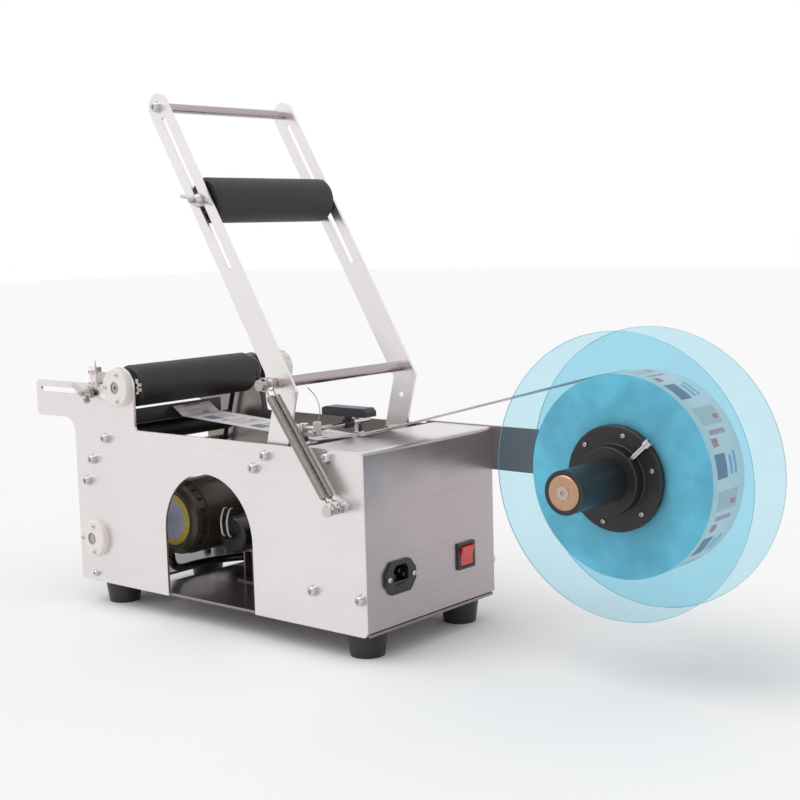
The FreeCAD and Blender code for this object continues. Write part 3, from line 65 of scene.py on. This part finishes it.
# ---------------------------------------------------------------- material building blocks
class Paint:
    """One procedural material: a Principled shader with noise for colour, roughness and bump."""

    def __init__(self, name, metallic=0.0, ior=1.5, coat=0.0):
        self.material = bpy.data.materials.new(name)
        self.material.use_nodes = True
        self.tree = self.material.node_tree
        self.shader = self.tree.nodes["Principled BSDF"]
        self.shader.inputs["Metallic"].default_value = metallic
        self.shader.inputs["IOR"].default_value = ior
        self.shader.inputs["Coat Weight"].default_value = coat
        self.shader.inputs["Coat Roughness"].default_value = 0.08
        self.place = self.tree.nodes.new("ShaderNodeTexCoord").outputs["Object"]

    def link(self, a, b):
        self.tree.links.new(a, b)

    def noise(self, scale, stretch=(1, 1, 1), detail=4.0):
        mapping = self.tree.nodes.new("ShaderNodeMapping")
        mapping.inputs["Scale"].default_value = stretch
        noise = self.tree.nodes.new("ShaderNodeTexNoise")
        noise.inputs["Scale"].default_value = scale
        noise.inputs["Detail"].default_value = detail
        self.link(self.place, mapping.inputs["Vector"])
        self.link(mapping.outputs["Vector"], noise.inputs["Vector"])
        return noise.outputs["Fac"]

    def ramp(self, fac, stops):
        ramp = self.tree.nodes.new("ShaderNodeValToRGB")
        while len(ramp.color_ramp.elements) < len(stops):
            ramp.color_ramp.elements.new(0.5)
        for element, (position, colour) in zip(ramp.color_ramp.elements, stops):
            element.position = position
            element.color = (*colour, 1.0)
        self.link(fac, ramp.inputs["Fac"])
        return ramp.outputs["Color"]

    def spread(self, fac, low, high):
        spread = self.tree.nodes.new("ShaderNodeMapRange")
        spread.inputs["From Min"].default_value = 0.3
        spread.inputs["From Max"].default_value = 0.7
        spread.inputs["To Min"].default_value = low
        spread.inputs["To Max"].default_value = high
        self.link(fac, spread.inputs["Value"])
        return spread.outputs["Result"]

    def math(self, operation, a, b):
        node = self.tree.nodes.new("ShaderNodeMath")
        node.operation = operation
        for socket, value in zip(node.inputs, (a, b)):
            if isinstance(value, (int, float)):
                socket.default_value = value
            else:
                self.link(value, socket)
        return node.outputs["Value"]

    def between(self, value, low, high):
        return self.math("MULTIPLY", self.math("GREATER_THAN", value, low),
                         self.math("LESS_THAN", value, high))

    def mix(self, fac, a, b):
        node = self.tree.nodes.new("ShaderNodeMix")
        node.data_type = "RGBA"
        for socket, value in ((node.inputs["Factor"], fac), (node.inputs[6], a), (node.inputs[7], b)):
            if isinstance(value, tuple):
                socket.default_value = (*value, 1.0)
            elif isinstance(value, (int, float)):
                socket.default_value = value
            else:
                self.link(value, socket)
        return node.outputs[2]

    def bump(self, height, strength, distance=0.0002, rounding=0.0):
        bump = self.tree.nodes.new("ShaderNodeBump")
        bump.inputs["Strength"].default_value = strength
        bump.inputs["Distance"].default_value = distance
        self.link(height, bump.inputs["Height"])
        if rounding:
            bevel = self.tree.nodes.new("ShaderNodeBevel")
            bevel.samples = 4
            bevel.inputs["Radius"].default_value = rounding
            self.link(bevel.outputs["Normal"], bump.inputs["Normal"])
        self.link(bump.outputs["Normal"], self.shader.inputs["Normal"])

    def facing(self, axis):
        """Part of the surface's own direction that points along X, Y or Z."""
        geometry = self.tree.nodes.new("ShaderNodeNewGeometry")
        split = self.tree.nodes.new("ShaderNodeSeparateXYZ")
        self.link(geometry.outputs["True Normal"], split.inputs["Vector"])
        return split.outputs[axis]

    def finish(self, colour, rough):
        self.link(colour, self.shader.inputs["Base Color"])
        self.link(rough, self.shader.inputs["Roughness"])
        return self.material


def shade(colour, factor):
    return tuple(min(1.0, c * factor) for c in colour)


def plain(name, colour, rough, metallic=0.0, scale=120.0, vary=0.08, bump=0.15, coat=0.0,
          stretch=(1, 1, 1), rounding=0.0004, ior=1.5):
    """Material with fine mottling over a slow drift of tone."""
    paint = Paint(name, metallic, ior, coat)
    fine = paint.noise(scale, stretch)
    slow = paint.noise(9.0, detail=2.0)
    fine_colour = paint.ramp(fine, [(0.3, shade(colour, 1 - vary)), (0.7, shade(colour, 1 + vary))])
    slow_colour = paint.ramp(slow, [(0.35, shade(colour, 1 - vary)), (0.65, shade(colour, 1 + vary))])
    paint.bump(fine, bump, rounding=rounding)
    return paint.finish(paint.mix(0.4, fine_colour, slow_colour),
                        paint.spread(fine, rough * 0.85, rough * 1.15))


def brushed(name, colour, stretch, rough=0.3, shaded=None):
    """Ground stainless sheet: fine parallel scratches and a slow drift of tone.

    shaded is (axis, sign, colour): faces that look that way get this darker colour painted on, a painted
    reflection of darker surroundings.
    """
    paint = Paint(name, 0.9)
    grain = paint.noise(1.0, stretch, 6.0)
    slow = paint.noise(5.0, detail=2.0)
    smudge = paint.noise(24.0, detail=5.0)
    lines = paint.ramp(grain, [(0.3, shade(colour, 0.94)), (0.7, shade(colour, 1.05))])
    drift = paint.ramp(slow, [(0.35, shade(colour, 0.95)), (0.65, shade(colour, 1.04))])
    paint.bump(grain, 0.10, 0.00006, 0.0005)
    tone = paint.mix(0.5, lines, drift)
    # painted reflection: faces turned along the given axis take the darker colour in place of a real
    # reflection
    if shaded:
        axis, sign, dark = shaded
        towards = paint.math("MULTIPLY", paint.facing(axis), sign)
        dim = paint.ramp(grain, [(0.3, shade(dark, 0.93)), (0.7, shade(dark, 1.07))])
        tone = paint.mix(paint.math("GREATER_THAN", towards, 0.6), tone, dim)
    return paint.finish(tone, paint.spread(smudge, rough * 0.85, rough * 1.25))


PAPER = (0.84, 0.80, 0.80)
LABEL_LENGTH = 0.082
NAVY = (0.055, 0.10, 0.21)
CYAN_INK = (0.16, 0.42, 0.66)
CRIMSON = (0.62, 0.10, 0.16)
ROSE = (0.50, 0.30, 0.36)
GREY_INK = (0.60, 0.57, 0.56)
RED_INK = (0.66, 0.14, 0.18)
# each block: from and to along the label, from and to across it, as shares of the label
BLOCKS = [((0.06, 0.34), (0.10, 0.46), NAVY),
          ((0.08, 0.30), (0.56, 0.66), CYAN_INK),
          ((0.08, 0.34), (0.72, 0.80), CYAN_INK),
          ((0.42, 0.52), (0.16, 0.36), CRIMSON),
          ((0.56, 0.62), (0.20, 0.74), ROSE),
          ((0.68, 0.92), (0.14, 0.84), GREY_INK),
          ((0.74, 0.80), (0.60, 0.78), RED_INK)]


def printed(name, around, low, high, clear=0.0, side=None):
    """Label stock: pale paper with plain blocks of ink inside each label's margins.

    around is the roll's centre and radius, or None for a strip along X; low and high are the
    label's edges in Y; side is the cyan colour painted on a roll's end faces, painted light
    standing for light that comes through the blue discs.
    """
    paint = Paint(name)
    parts = paint.tree.nodes.new("ShaderNodeSeparateXYZ")
    paint.link(paint.place, parts.inputs["Vector"])
    x, y, z = parts.outputs
    if around is None:
        length = x
    else:
        centre, radius = around
        angle = paint.math("ARCTAN2", paint.math("SUBTRACT", z, centre.z),
                           paint.math("SUBTRACT", x, centre.x))
        length = paint.math("MULTIPLY", angle, radius)
    along_label = paint.math("FRACT", paint.math("DIVIDE", length, LABEL_LENGTH), 0)
    over_label = paint.math("DIVIDE", paint.math("SUBTRACT", y, low), high - low)
    fibre = paint.noise(900.0)
    fine = paint.noise(420.0, (1, 3, 1))
    colour = paint.ramp(fibre, [(0.3, shade(PAPER, 0.95)), (0.7, shade(PAPER, 1.04))])
    for (start, end), (near_edge, far_edge), ink in BLOCKS:
        inside = paint.math("MULTIPLY", paint.between(along_label, start, end),
                            paint.between(over_label, near_edge, far_edge))
        worn = paint.math("MULTIPLY", inside, paint.spread(fine, 0.55, 1.0))
        colour = paint.mix(worn, colour, ink)
    # painted light: the end faces take the given cyan, which stands for light through the blue discs,
    # mottled by random smudges
    if side:
        smudge = paint.noise(28.0, detail=5.0)
        wound = paint.ramp(smudge, [(0.40, shade(side, 0.80)), (0.62, side)])
        edge_on = paint.math("GREATER_THAN", paint.math("ABSOLUTE", paint.facing("Y"), 0), 0.5)
        colour = paint.mix(edge_on, colour, wound)
    paint.bump(fibre, 0.08)
    paint.shader.inputs["Alpha"].default_value = 1.0 - clear
    return paint.finish(colour, paint.spread(fibre, 0.42, 0.55))


def tinted_clear(name, tint, edge_tint):
    """Clear blue acrylic: see-through faces with a saturated rim and a weak sheen."""
    paint = Paint(name, ior=1.49)
    tree = paint.tree
    grease = paint.noise(14.0, detail=6.0)
    rim = paint.math("LESS_THAN", paint.math("ABSOLUTE", paint.facing("Y"), 0), 0.5)
    through = tree.nodes.new("ShaderNodeBsdfTransparent")
    drift = paint.ramp(grease, [(0.35, shade(tint, 0.985)), (0.65, tint)])
    paint.link(paint.mix(rim, drift, edge_tint), through.inputs["Color"])
    body = paint.ramp(grease, [(0.3, (0.36, 0.70, 0.86)), (0.7, (0.42, 0.76, 0.90))])
    fresnel = tree.nodes.new("ShaderNodeFresnel")
    fresnel.inputs["IOR"].default_value = 1.49
    solid = paint.math("ADD", paint.math("MULTIPLY", fresnel.outputs["Fac"], 0.4),
                       paint.math("MULTIPLY", rim, 0.35))
    blend = tree.nodes.new("ShaderNodeMixShader")
    paint.link(solid, blend.inputs["Fac"])
    paint.link(through.outputs["BSDF"], blend.inputs[1])
    paint.link(paint.shader.outputs["BSDF"], blend.inputs[2])
    paint.link(blend.outputs["Shader"], tree.nodes["Material Output"].inputs["Surface"])
    paint.bump(grease, 0.02)
    return paint.finish(body, paint.spread(grease, 0.05, 0.14))


# ---------------------------------------------------------------- the materials
STEEL = (0.80, 0.752, 0.752)
stainless_side = brushed("stainless_side", STEEL, (6.0, 40.0, 1100.0))
# Far plate and spool arm: faces turned towards -Y carry a painted reflection, a darker tone for the dark
# inside of the machine.
far_steel_painted_reflection = brushed("far_steel_painted_reflection", STEEL, (6.0, 40.0, 1100.0), shaded=("Y", -1, (0.30, 0.26, 0.25)))
# Rear cover: faces turned towards +X carry a painted reflection, a darker tone for a dark room mirrored in
# the steel.
rear_steel_painted_reflection = brushed("rear_steel_painted_reflection", (0.76, 0.72, 0.72), (40.0, 5.0, 1100.0), 0.30,
                         ("X", 1, (0.47, 0.415, 0.425)))
# Base plate: the dark steel colour is painted shade and a painted reflection of the machine's dark inside.
base_steel_painted_shade = brushed("base_steel_painted_shade", (0.30, 0.26, 0.26), (5.0, 900.0, 40.0), 0.2)
stainless_arm = brushed("stainless_arm", (0.84, 0.80, 0.80), (700.0, 40.0, 500.0), 0.26)
chrome = plain("chrome", (0.60, 0.58, 0.58), 0.14, 1.0, vary=0.03, bump=0.04)
satin_bar = plain("satin_bar", (0.44, 0.385, 0.39), 0.26, 1.0, 300.0, bump=0.06)
turned_steel = plain("turned_steel", (0.46, 0.43, 0.42), 0.24, 1.0, 300.0, bump=0.08)
spring_steel = plain("spring_steel", (0.40, 0.36, 0.35), 0.26, 1.0, 300.0, bump=0.06)
# Near black with a thin coat, for the front foot bar and peel plate, which lie in the dark bands along the
# front and under the roller.
near_black = plain("near_black", (0.022, 0.022, 0.024), 0.32, scale=500.0, coat=0.2)
motor_paint = plain("motor_paint", (0.040, 0.032, 0.024), 0.36, 0.1, 260.0, 0.16, 0.3, 0.1)
roller_rubber = plain("roller_rubber", (0.016, 0.0145, 0.0145), 0.52, scale=700.0, vary=0.12, bump=0.25,
                      rounding=0.001)
foot_rubber = plain("foot_rubber", (0.018, 0.018, 0.019), 0.42, scale=500.0, vary=0.1, bump=0.2)
belt_rubber = plain("belt_rubber", (0.03, 0.03, 0.03), 0.6, scale=400.0, bump=0.3)
cable_rubber = plain("cable_rubber", (0.012, 0.012, 0.013), 0.25, scale=300.0, bump=0.08)
white_plastic = plain("white_plastic", (0.80, 0.75, 0.72), 0.38, scale=200.0, vary=0.02, bump=0.06,
                      rounding=0.0008)
black_plastic = plain("black_plastic", (0.016, 0.016, 0.018), 0.30, scale=500.0, bump=0.1)
sensor_plastic = plain("sensor_plastic", (0.016, 0.020, 0.034), 0.34, scale=300.0, bump=0.1)
red_plastic = plain("red_plastic", (0.72, 0.035, 0.025), 0.22, scale=200.0, vary=0.05, bump=0.05,
                    coat=0.4)
anodised = plain("anodised", (0.014, 0.012, 0.013), 0.42, 0.1, 420.0, bump=0.08)
tube_black = plain("tube_black", (0.022, 0.024, 0.028), 0.34, 0.2, 420.0, bump=0.12)
bronze = plain("bronze", (0.50, 0.30, 0.20), 0.3, 1.0, 300.0, bump=0.08)
disc_blue = tinted_clear("disc_blue", (0.80, 0.935, 0.975), (0.30, 0.42, 0.50))
spool = middle("label_roll")
roll_low, roll_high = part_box("label_roll")
roll_radius = (roll_high[2] - roll_low[2]) / 2
# The cyan end-face colour is painted light for light that passes through the blue discs.
roll_paper = printed("roll_paper", (spool, roll_radius), roll_low[1] + 0.003, roll_high[1] - 0.003,
                     side=(0.46, 0.84, 0.93))
web_low, web_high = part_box("label_web")
web_paper = printed("web_paper", None, web_low[1] + 0.004, web_high[1] - 0.004, 0.25)
yellow_foil = plain("yellow_foil", (0.66, 0.52, 0.10), 0.3, 0.2, 200.0, 0.05, 0.05)
pale_foil = plain("pale_foil", (0.50, 0.52, 0.68), 0.3, 0.2, 200.0, 0.05, 0.05)
grey_wire = plain("grey_wire", (0.55, 0.55, 0.56), 0.4, scale=300.0)

LOOKS = {
    stainless_side: "side_plate_near cradle_plates",
    far_steel_painted_reflection: "side_plate_far spool_arm",
    rear_steel_painted_reflection: "rear_cover",
    base_steel_painted_shade: "base_plate",
    stainless_arm: "press_arm_bars",
    chrome: "machine_screws main_roller_collar guide_frame press_arm_screws "
            "press_wing_nuts cradle_wing_nuts spring_post spool_clamp_screw",
    turned_steel: "ball_bearings main_roller_shaft takeup_shaft motor_output web_rods press_arm_pivot "
                  "press_axle cradle_studs spool_axle mounting_brackets",
    satin_bar: "press_arm_top_bar press_arm_low_bar",
    spring_steel: "spring_coils spring_hooks",
    near_black: "front_foot_bar peel_plate",
    motor_paint: "motor_body motor_gear_case",
    roller_rubber: "main_roller_rubber press_roller idler_roller takeup_drum cradle_roller_1 "
                   "cradle_roller_2",
    foot_rubber: "rubber_feet",
    belt_rubber: "drive_belt",
    cable_rubber: "motor_cable",
    white_plastic: "bearing_flanges hand_wheel",
    black_plastic: "capacitor control_box core_adapter press_slide_blocks power_inlet fuse_drawer "
                   "switch_frame",
    sensor_plastic: "label_sensor",
    red_plastic: "rocker_switch",
    anodised: "spool_hub_far spool_hub_near",
    tube_black: "spindle_tube",
    disc_blue: "spool_disc_far spool_disc_near",
    roll_paper: "label_roll",
    web_paper: "label_web",
}
for material, names in LOOKS.items():
    for name in names.split():
        mesh = nodes[name].data
        mesh.materials.clear()
        mesh.materials.append(material)
        mesh.shade_smooth()
        mesh.set_sharp_from_angle(angle=math.radians(32))


# ---------------------------------------------------------------- piece building blocks
def piece(name, mesh_or_curve, material, body=None):
    thing = bpy.data.objects.new(name, mesh_or_curve)
    bpy.context.scene.collection.objects.link(thing)
    mesh_or_curve.materials.append(material)
    if body:
        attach(thing, body)
    return thing


def mesh_from(work, name, sharp_angle=None):
    """Mesh from closed faces, turned outwards and smooth-shaded up to the given angle."""
    bmesh.ops.recalc_face_normals(work, faces=work.faces)
    mesh = bpy.data.meshes.new(name)
    work.to_mesh(mesh)
    work.free()
    mesh.shade_smooth()
    if sharp_angle:
        mesh.set_sharp_from_angle(angle=math.radians(sharp_angle))
    return mesh


def join_loops(work, loops):
    """Side faces between neighbouring loops of vertices."""
    count = len(loops[0])
    for low, high in zip(loops, loops[1:]):
        for i in range(count):
            j = (i + 1) % count
            work.faces.new((low[i], low[j], high[j], high[i]))


def turned(name, centre, axis, rings, material, body, count=32):
    """Closed turned piece; rings are (radius, height along axis, six-sided or round)."""
    work = bmesh.new()
    axis = Vector(axis).normalized()
    side = axis.orthogonal().normalized()
    other = axis.cross(side)
    loops = []
    for radius, height, six in rings:
        loop = []
        for i in range(count):
            angle = 2 * math.pi * i / count
            r = radius
            if six:
                r = radius / math.cos((angle % (math.pi / 3)) - math.pi / 6)
            loop.append(work.verts.new(centre + axis * height + (side * math.cos(angle)
                                                                 + other * math.sin(angle)) * r))
        loops.append(loop)
    join_loops(work, loops)
    work.faces.new(list(reversed(loops[0])))
    work.faces.new(loops[-1])
    return piece(name, mesh_from(work, name, 35), material, body)


def socket_head(name, centre, axis, radius, body, material=None):
    """Small rounded screw head with a six-sided socket."""
    rings = [(radius, 0, False), (radius, radius * 0.55, False), (radius * 0.82, radius * 0.8, False),
             (radius * 0.45, radius * 0.85, True), (radius * 0.42, radius * 0.3, True)]
    return turned(name, centre, axis, rings, material or chrome, body, 24)


def tube(name, points, radius, material, body, sides=8):
    """Round tube mesh along a line of points."""
    work = bmesh.new()
    loops = []
    up = Vector((0, 1, 0))
    for i, point in enumerate(points):
        ahead = points[min(i + 1, len(points) - 1)] - points[max(i - 1, 0)]
        ahead.normalize()
        side = ahead.cross(up)
        if side.length < 0.05:
            side = ahead.cross(Vector((1, 0, 0)))
        side.normalize()
        other = side.cross(ahead)
        loops.append([work.verts.new(point + side * radius * math.cos(2 * math.pi * k / sides)
                                     + other * radius * math.sin(2 * math.pi * k / sides))
                      for k in range(sides)])
    join_loops(work, loops)
    work.faces.new(loops[0])
    work.faces.new(loops[-1])
    return piece(name, mesh_from(work, name), material, body)


def bend(points, steps=10):
    """Smooth line through a few points (Catmull-Rom)."""
    line = []
    for i in range(len(points) - 1):
        a = points[max(i - 1, 0)]
        b = points[i]
        c = points[i + 1]
        d = points[min(i + 2, len(points) - 1)]
        for k in range(steps):
            t = k / steps
            line.append(0.5 * ((2 * b) + (c - a) * t + (2 * a - 5 * b + 4 * c - d) * t * t
                               + (3 * b - a - 3 * c + d) * t ** 3))
    line.append(points[-1])
    return line


# ---------------------------------------------------------------- screws of the bearing flanges
SMALL_HEAD = 0.0024
FLANGE_SCREW_CIRCLE = 0.0165
FLANGE_SCREW_ANGLES = (72, 180, 288)
flange_low, flange_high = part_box("bearing_flanges")
for label, axis_place in (("main", middle("main_roller_rubber")), ("takeup", middle("takeup_drum"))):
    for side, face, out in (("near", flange_low[1], -1), ("far", flange_high[1], 1)):
        for number, degrees in enumerate(FLANGE_SCREW_ANGLES):
            angle = math.radians(degrees)
            centre = Vector((axis_place.x + FLANGE_SCREW_CIRCLE * math.cos(angle), face,
                             axis_place.z + FLANGE_SCREW_CIRCLE * math.sin(angle)))
            socket_head(f"flange_screw_{label}_{side}_{number}", centre, (0, out, 0), SMALL_HEAD, "frame")

# ---------------------------------------------------------------- springs wound from wire
coil_low, coil_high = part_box("spring_coils")
post = middle("spring_post")
arm_bar = middle("press_arm_low_bar")
EYE = 0.0068
EYE_STEPS = 28
EYE_SWEEP = 0.92
EYE_OFFSET = 0.0022
WIRE = 0.0008
COIL_RADIUS = 0.0037
COIL_INSET = 0.0045
TURNS = 68
STEPS_A_TURN = 16
EASE_STEPS = 12
foot_point = Vector((post.x, 0, post.z))
top_point = Vector((arm_bar.x, 0, arm_bar.z))
along = (top_point - foot_point).normalized()
reach = (top_point - foot_point).length
coil_start = 2 * EYE
coil_end = reach - 2 * EYE - 0.0005
sideways = Vector((0, 1, 0))
across = sideways.cross(along)
coil_steps = TURNS * STEPS_A_TURN
coils = []
for side_y in (coil_low[1] + COIL_INSET, coil_high[1] - COIL_INSET):
    line = []
    eye = foot_point + along * EYE_OFFSET
    for k in range(EYE_STEPS + 1):
        angle = math.pi / 2 + 2 * math.pi * EYE_SWEEP * k / EYE_STEPS
        line.append(eye + (across * math.cos(angle) + along * math.sin(angle) * -1) * -EYE)
    line.reverse()
    for k in range(coil_steps + 1):
        angle = 2 * math.pi * k / STEPS_A_TURN
        distance = coil_start + (coil_end - coil_start) * k / coil_steps
        radius = COIL_RADIUS * min(1.0, k / EASE_STEPS, (coil_steps - k) / EASE_STEPS)
        line.append(foot_point + along * distance
                    + (across * math.cos(angle) + sideways * math.sin(angle)) * radius)
    line.append(foot_point + along * (reach - EYE - 0.0012))
    coil = tube(f"spring_wound_{len(coils) + 1}", [p + Vector((0, side_y, 0)) for p in line], WIRE,
                spring_steel, None, 6)
    coils.append(coil)
for coil in coils:
    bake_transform(coil)
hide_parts("spring_coils")

# ---------------------------------------------------------------- motor cap disc and cable
motor = middle("motor_body")
motor_axis = Vector((motor.x, near_face("motor_body"), middle("motor_gear_case").z))
turned("motor_disc_rim", motor_axis, (0, -1, 0),
       [(0.031, 0, False), (0.031, 0.0004, False), (0.0302, 0.0007, False), (0.021, 0.0007, False)],
       yellow_foil, "frame", 64)
turned("motor_disc_middle", motor_axis, (0, -1, 0),
       [(0.0235, 0.0005, False), (0.0235, 0.0009, False), (0.0230, 0.0010, False)],
       pale_foil, "frame", 64)

CABLE_ROUTE = [(0.062, 0.024, 0.062), (0.062, 0.024, 0.048), (0.056, 0.042, 0.038),
               (0.050, 0.074, 0.037), (0.060, 0.110, 0.0375), (0.088, 0.134, 0.040),
               (0.128, 0.143, 0.042), (0.172, 0.141, 0.041), (0.216, 0.134, 0.040),
               (0.258, 0.134, 0.040)]
CABLE_DIAMETER = 0.010
cable_curve = bpy.data.curves.new("motor_lead", "CURVE")
cable_curve.dimensions = "3D"
cable_curve.bevel_depth = CABLE_DIAMETER / 2
cable_curve.bevel_resolution = 4
cable_curve.resolution_u = 12
cable_curve.use_fill_caps = True
spline = cable_curve.splines.new("NURBS")
spline.points.add(len(CABLE_ROUTE) - 1)
for point, place in zip(spline.points, CABLE_ROUTE):
    point.co = (*place, 1.0)
spline.order_u = 3
spline.use_endpoint_u = True
lead = piece("motor_lead", cable_curve, cable_rubber, "frame")
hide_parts("motor_cable")

# ---------------------------------------------------------------- capacitor wires
can = middle("capacitor")
can_face = near_face("capacitor")
for number, offset in enumerate((-0.005, 0.005)):
    start = Vector((can.x + offset, can_face + 0.002, can.z))
    tube(f"capacitor_wire_{number + 1}",
         bend([start, start + Vector((0, -0.004, 0.004)), start + Vector((-0.004, -0.002, 0.018)),
               start + Vector((-0.014, 0.012, 0.028)), start + Vector((-0.026, 0.028, 0.026))]),
         0.0012, grey_wire, "frame")

# ---------------------------------------------------------------- inlet and hub screws
INLET_LUG = 0.0052
INLET_FLANGE = 0.003
inlet_low, inlet_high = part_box("power_inlet")
panel_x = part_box("rear_cover")[1][0]
for number, y in enumerate((inlet_low[1] + INLET_LUG, inlet_high[1] - INLET_LUG)):
    centre = Vector((panel_x + INLET_FLANGE, y, middle("power_inlet").z))
    socket_head(f"inlet_screw_{number + 1}", centre, (1, 0, 0), 0.0028, "frame")
HUB_SCREWS = 6
HUB_SCREW_CIRCLE = 0.043
HUB_FLANGE = 0.007
hub_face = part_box("spool_hub_near")[1][1] - HUB_FLANGE
for number in range(HUB_SCREWS):
    angle = math.radians(15 + 360 / HUB_SCREWS * number)
    centre = Vector((spool.x + HUB_SCREW_CIRCLE * math.cos(angle), hub_face,
                     spool.z + HUB_SCREW_CIRCLE * math.sin(angle)))
    socket_head(f"hub_screw_{number + 1}", centre, (0, -1, 0), SMALL_HEAD, "spool_near_side", turned_steel)
tube_end = near_face("spindle_tube")
turned("spindle_bush", Vector((spool.x, tube_end + 0.0006, spool.z)), (0, -1, 0),
       [(0.0162, 0, False), (0.0162, 0.0012, False), (0.0152, 0.0020, False), (0.0090, 0.0020, False)],
       bronze, "spool", 48)

# ---------------------------------------------------------------- wire collar, feeler wire and cradle pin
guide_low, guide_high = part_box("guide_frame")
corner = Vector((guide_high[0] - 0.0045, guide_low[1] + 0.0060, guide_high[2] - 0.0045))
turned("wire_collar", corner, (0, 0, 1),
       [(0.0042, -0.0075, False), (0.0048, -0.0068, False),
        (0.0048, 0.0068, False), (0.0042, 0.0075, False)],
       white_plastic, "frame", 24)
socket_head("wire_collar_screw", corner + Vector((0, -0.0045, -0.003)), (0, -1, 0), 0.0022, "frame")
tube("feeler_wire", bend([corner + Vector((0, 0, 0.005)), corner + Vector((0.003, 0.002, 0.019)),
                          corner + Vector((-0.002, 0.002, 0.034)), corner + Vector((-0.013, 0, 0.045))]),
     0.0006, turned_steel, "frame", 6)
cradle_low, cradle_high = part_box("cradle_plates")
pin = Vector((cradle_high[0] - 0.016, cradle_low[1] + 0.0048, cradle_high[2] - 0.008))
tube("bracket_pin", [pin, pin + Vector((-0.002, 0, 0.008)), pin + Vector((-0.003, 0, 0.016))], 0.0009,
     turned_steel, "cradle")

# ---------------------------------------------------------------- floor, light and camera
floor_mesh = bpy.data.meshes.new("floor")
SPAN = 12.0
floor_mesh.from_pydata([(-SPAN, -SPAN, 0), (SPAN, -SPAN, 0), (SPAN, SPAN, 0), (-SPAN, SPAN, 0)], [],
                       [(0, 1, 2, 3)])
floor = bpy.data.objects.new("floor", floor_mesh)
bpy.context.scene.collection.objects.link(floor)
floor_paint = Paint("floor_white")
floor_grain = floor_paint.noise(3.0)
floor_mesh.materials.append(floor_paint.finish(
    floor_paint.ramp(floor_grain, [(0.3, (0.955, 0.955, 0.955)), (0.7, (0.97, 0.97, 0.97))]),
    floor_paint.spread(floor_grain, 0.8, 0.9)))

SKY_LEVEL = 0.72
SUN_LEVEL = 0.95
world = bpy.data.worlds.new("studio")
bpy.context.scene.world = world
world.use_nodes = True
sky = world.node_tree
light_path = sky.nodes.new("ShaderNodeLightPath")
seen = light_path.outputs["Is Camera Ray"]
for ray in ("Is Glossy Ray", "Is Transmission Ray"):
    either = sky.nodes.new("ShaderNodeMath")
    either.operation = "MAXIMUM"
    sky.links.new(seen, either.inputs[0])
    sky.links.new(light_path.outputs[ray], either.inputs[1])
    seen = either.outputs["Value"]
strength = sky.nodes.new("ShaderNodeMapRange")
strength.inputs["To Min"].default_value = SKY_LEVEL
strength.inputs["To Max"].default_value = 1.0
sky.links.new(seen, strength.inputs["Value"])
sky.links.new(strength.outputs["Result"], sky.nodes["Background"].inputs["Strength"])
sky.nodes["Background"].inputs["Color"].default_value = (1, 1, 1, 1)

sun_data = bpy.data.lights.new("key", "SUN")
sun_data.energy = SUN_LEVEL
sun_data.angle = math.radians(50)
sun = bpy.data.objects.new("key", sun_data)
bpy.context.scene.collection.objects.link(sun)
sun.rotation_euler = Vector((0.35, 0.55, -1.0)).to_track_quat("-Z", "Y").to_euler()

EYE_POINT = (1.36664, -1.08587, 0.44332)
YAW = math.radians(40.05)
PITCH = math.radians(6.80)
ROLL = math.radians(-1.54)
forward = Vector((-math.sin(YAW) * math.cos(PITCH), math.cos(YAW) * math.cos(PITCH), -math.sin(PITCH)))
right = Vector((math.cos(YAW), math.sin(YAW), 0))
up = right.cross(forward)
tilted_right = right * math.cos(ROLL) + up * math.sin(ROLL)
tilted_up = up * math.cos(ROLL) - right * math.sin(ROLL)
camera_data = bpy.data.cameras.new("camera")
camera_data.lens = 63.49
camera_data.sensor_width = 36.0
camera = bpy.data.objects.new("camera", camera_data)
bpy.context.scene.collection.objects.link(camera)
camera.matrix_world = Matrix.Translation(EYE_POINT) @ Matrix(
    (tilted_right, tilted_up, -forward)).transposed().to_4x4()
bpy.context.scene.camera = camera
bpy.context.scene.view_settings.view_transform = "Standard"
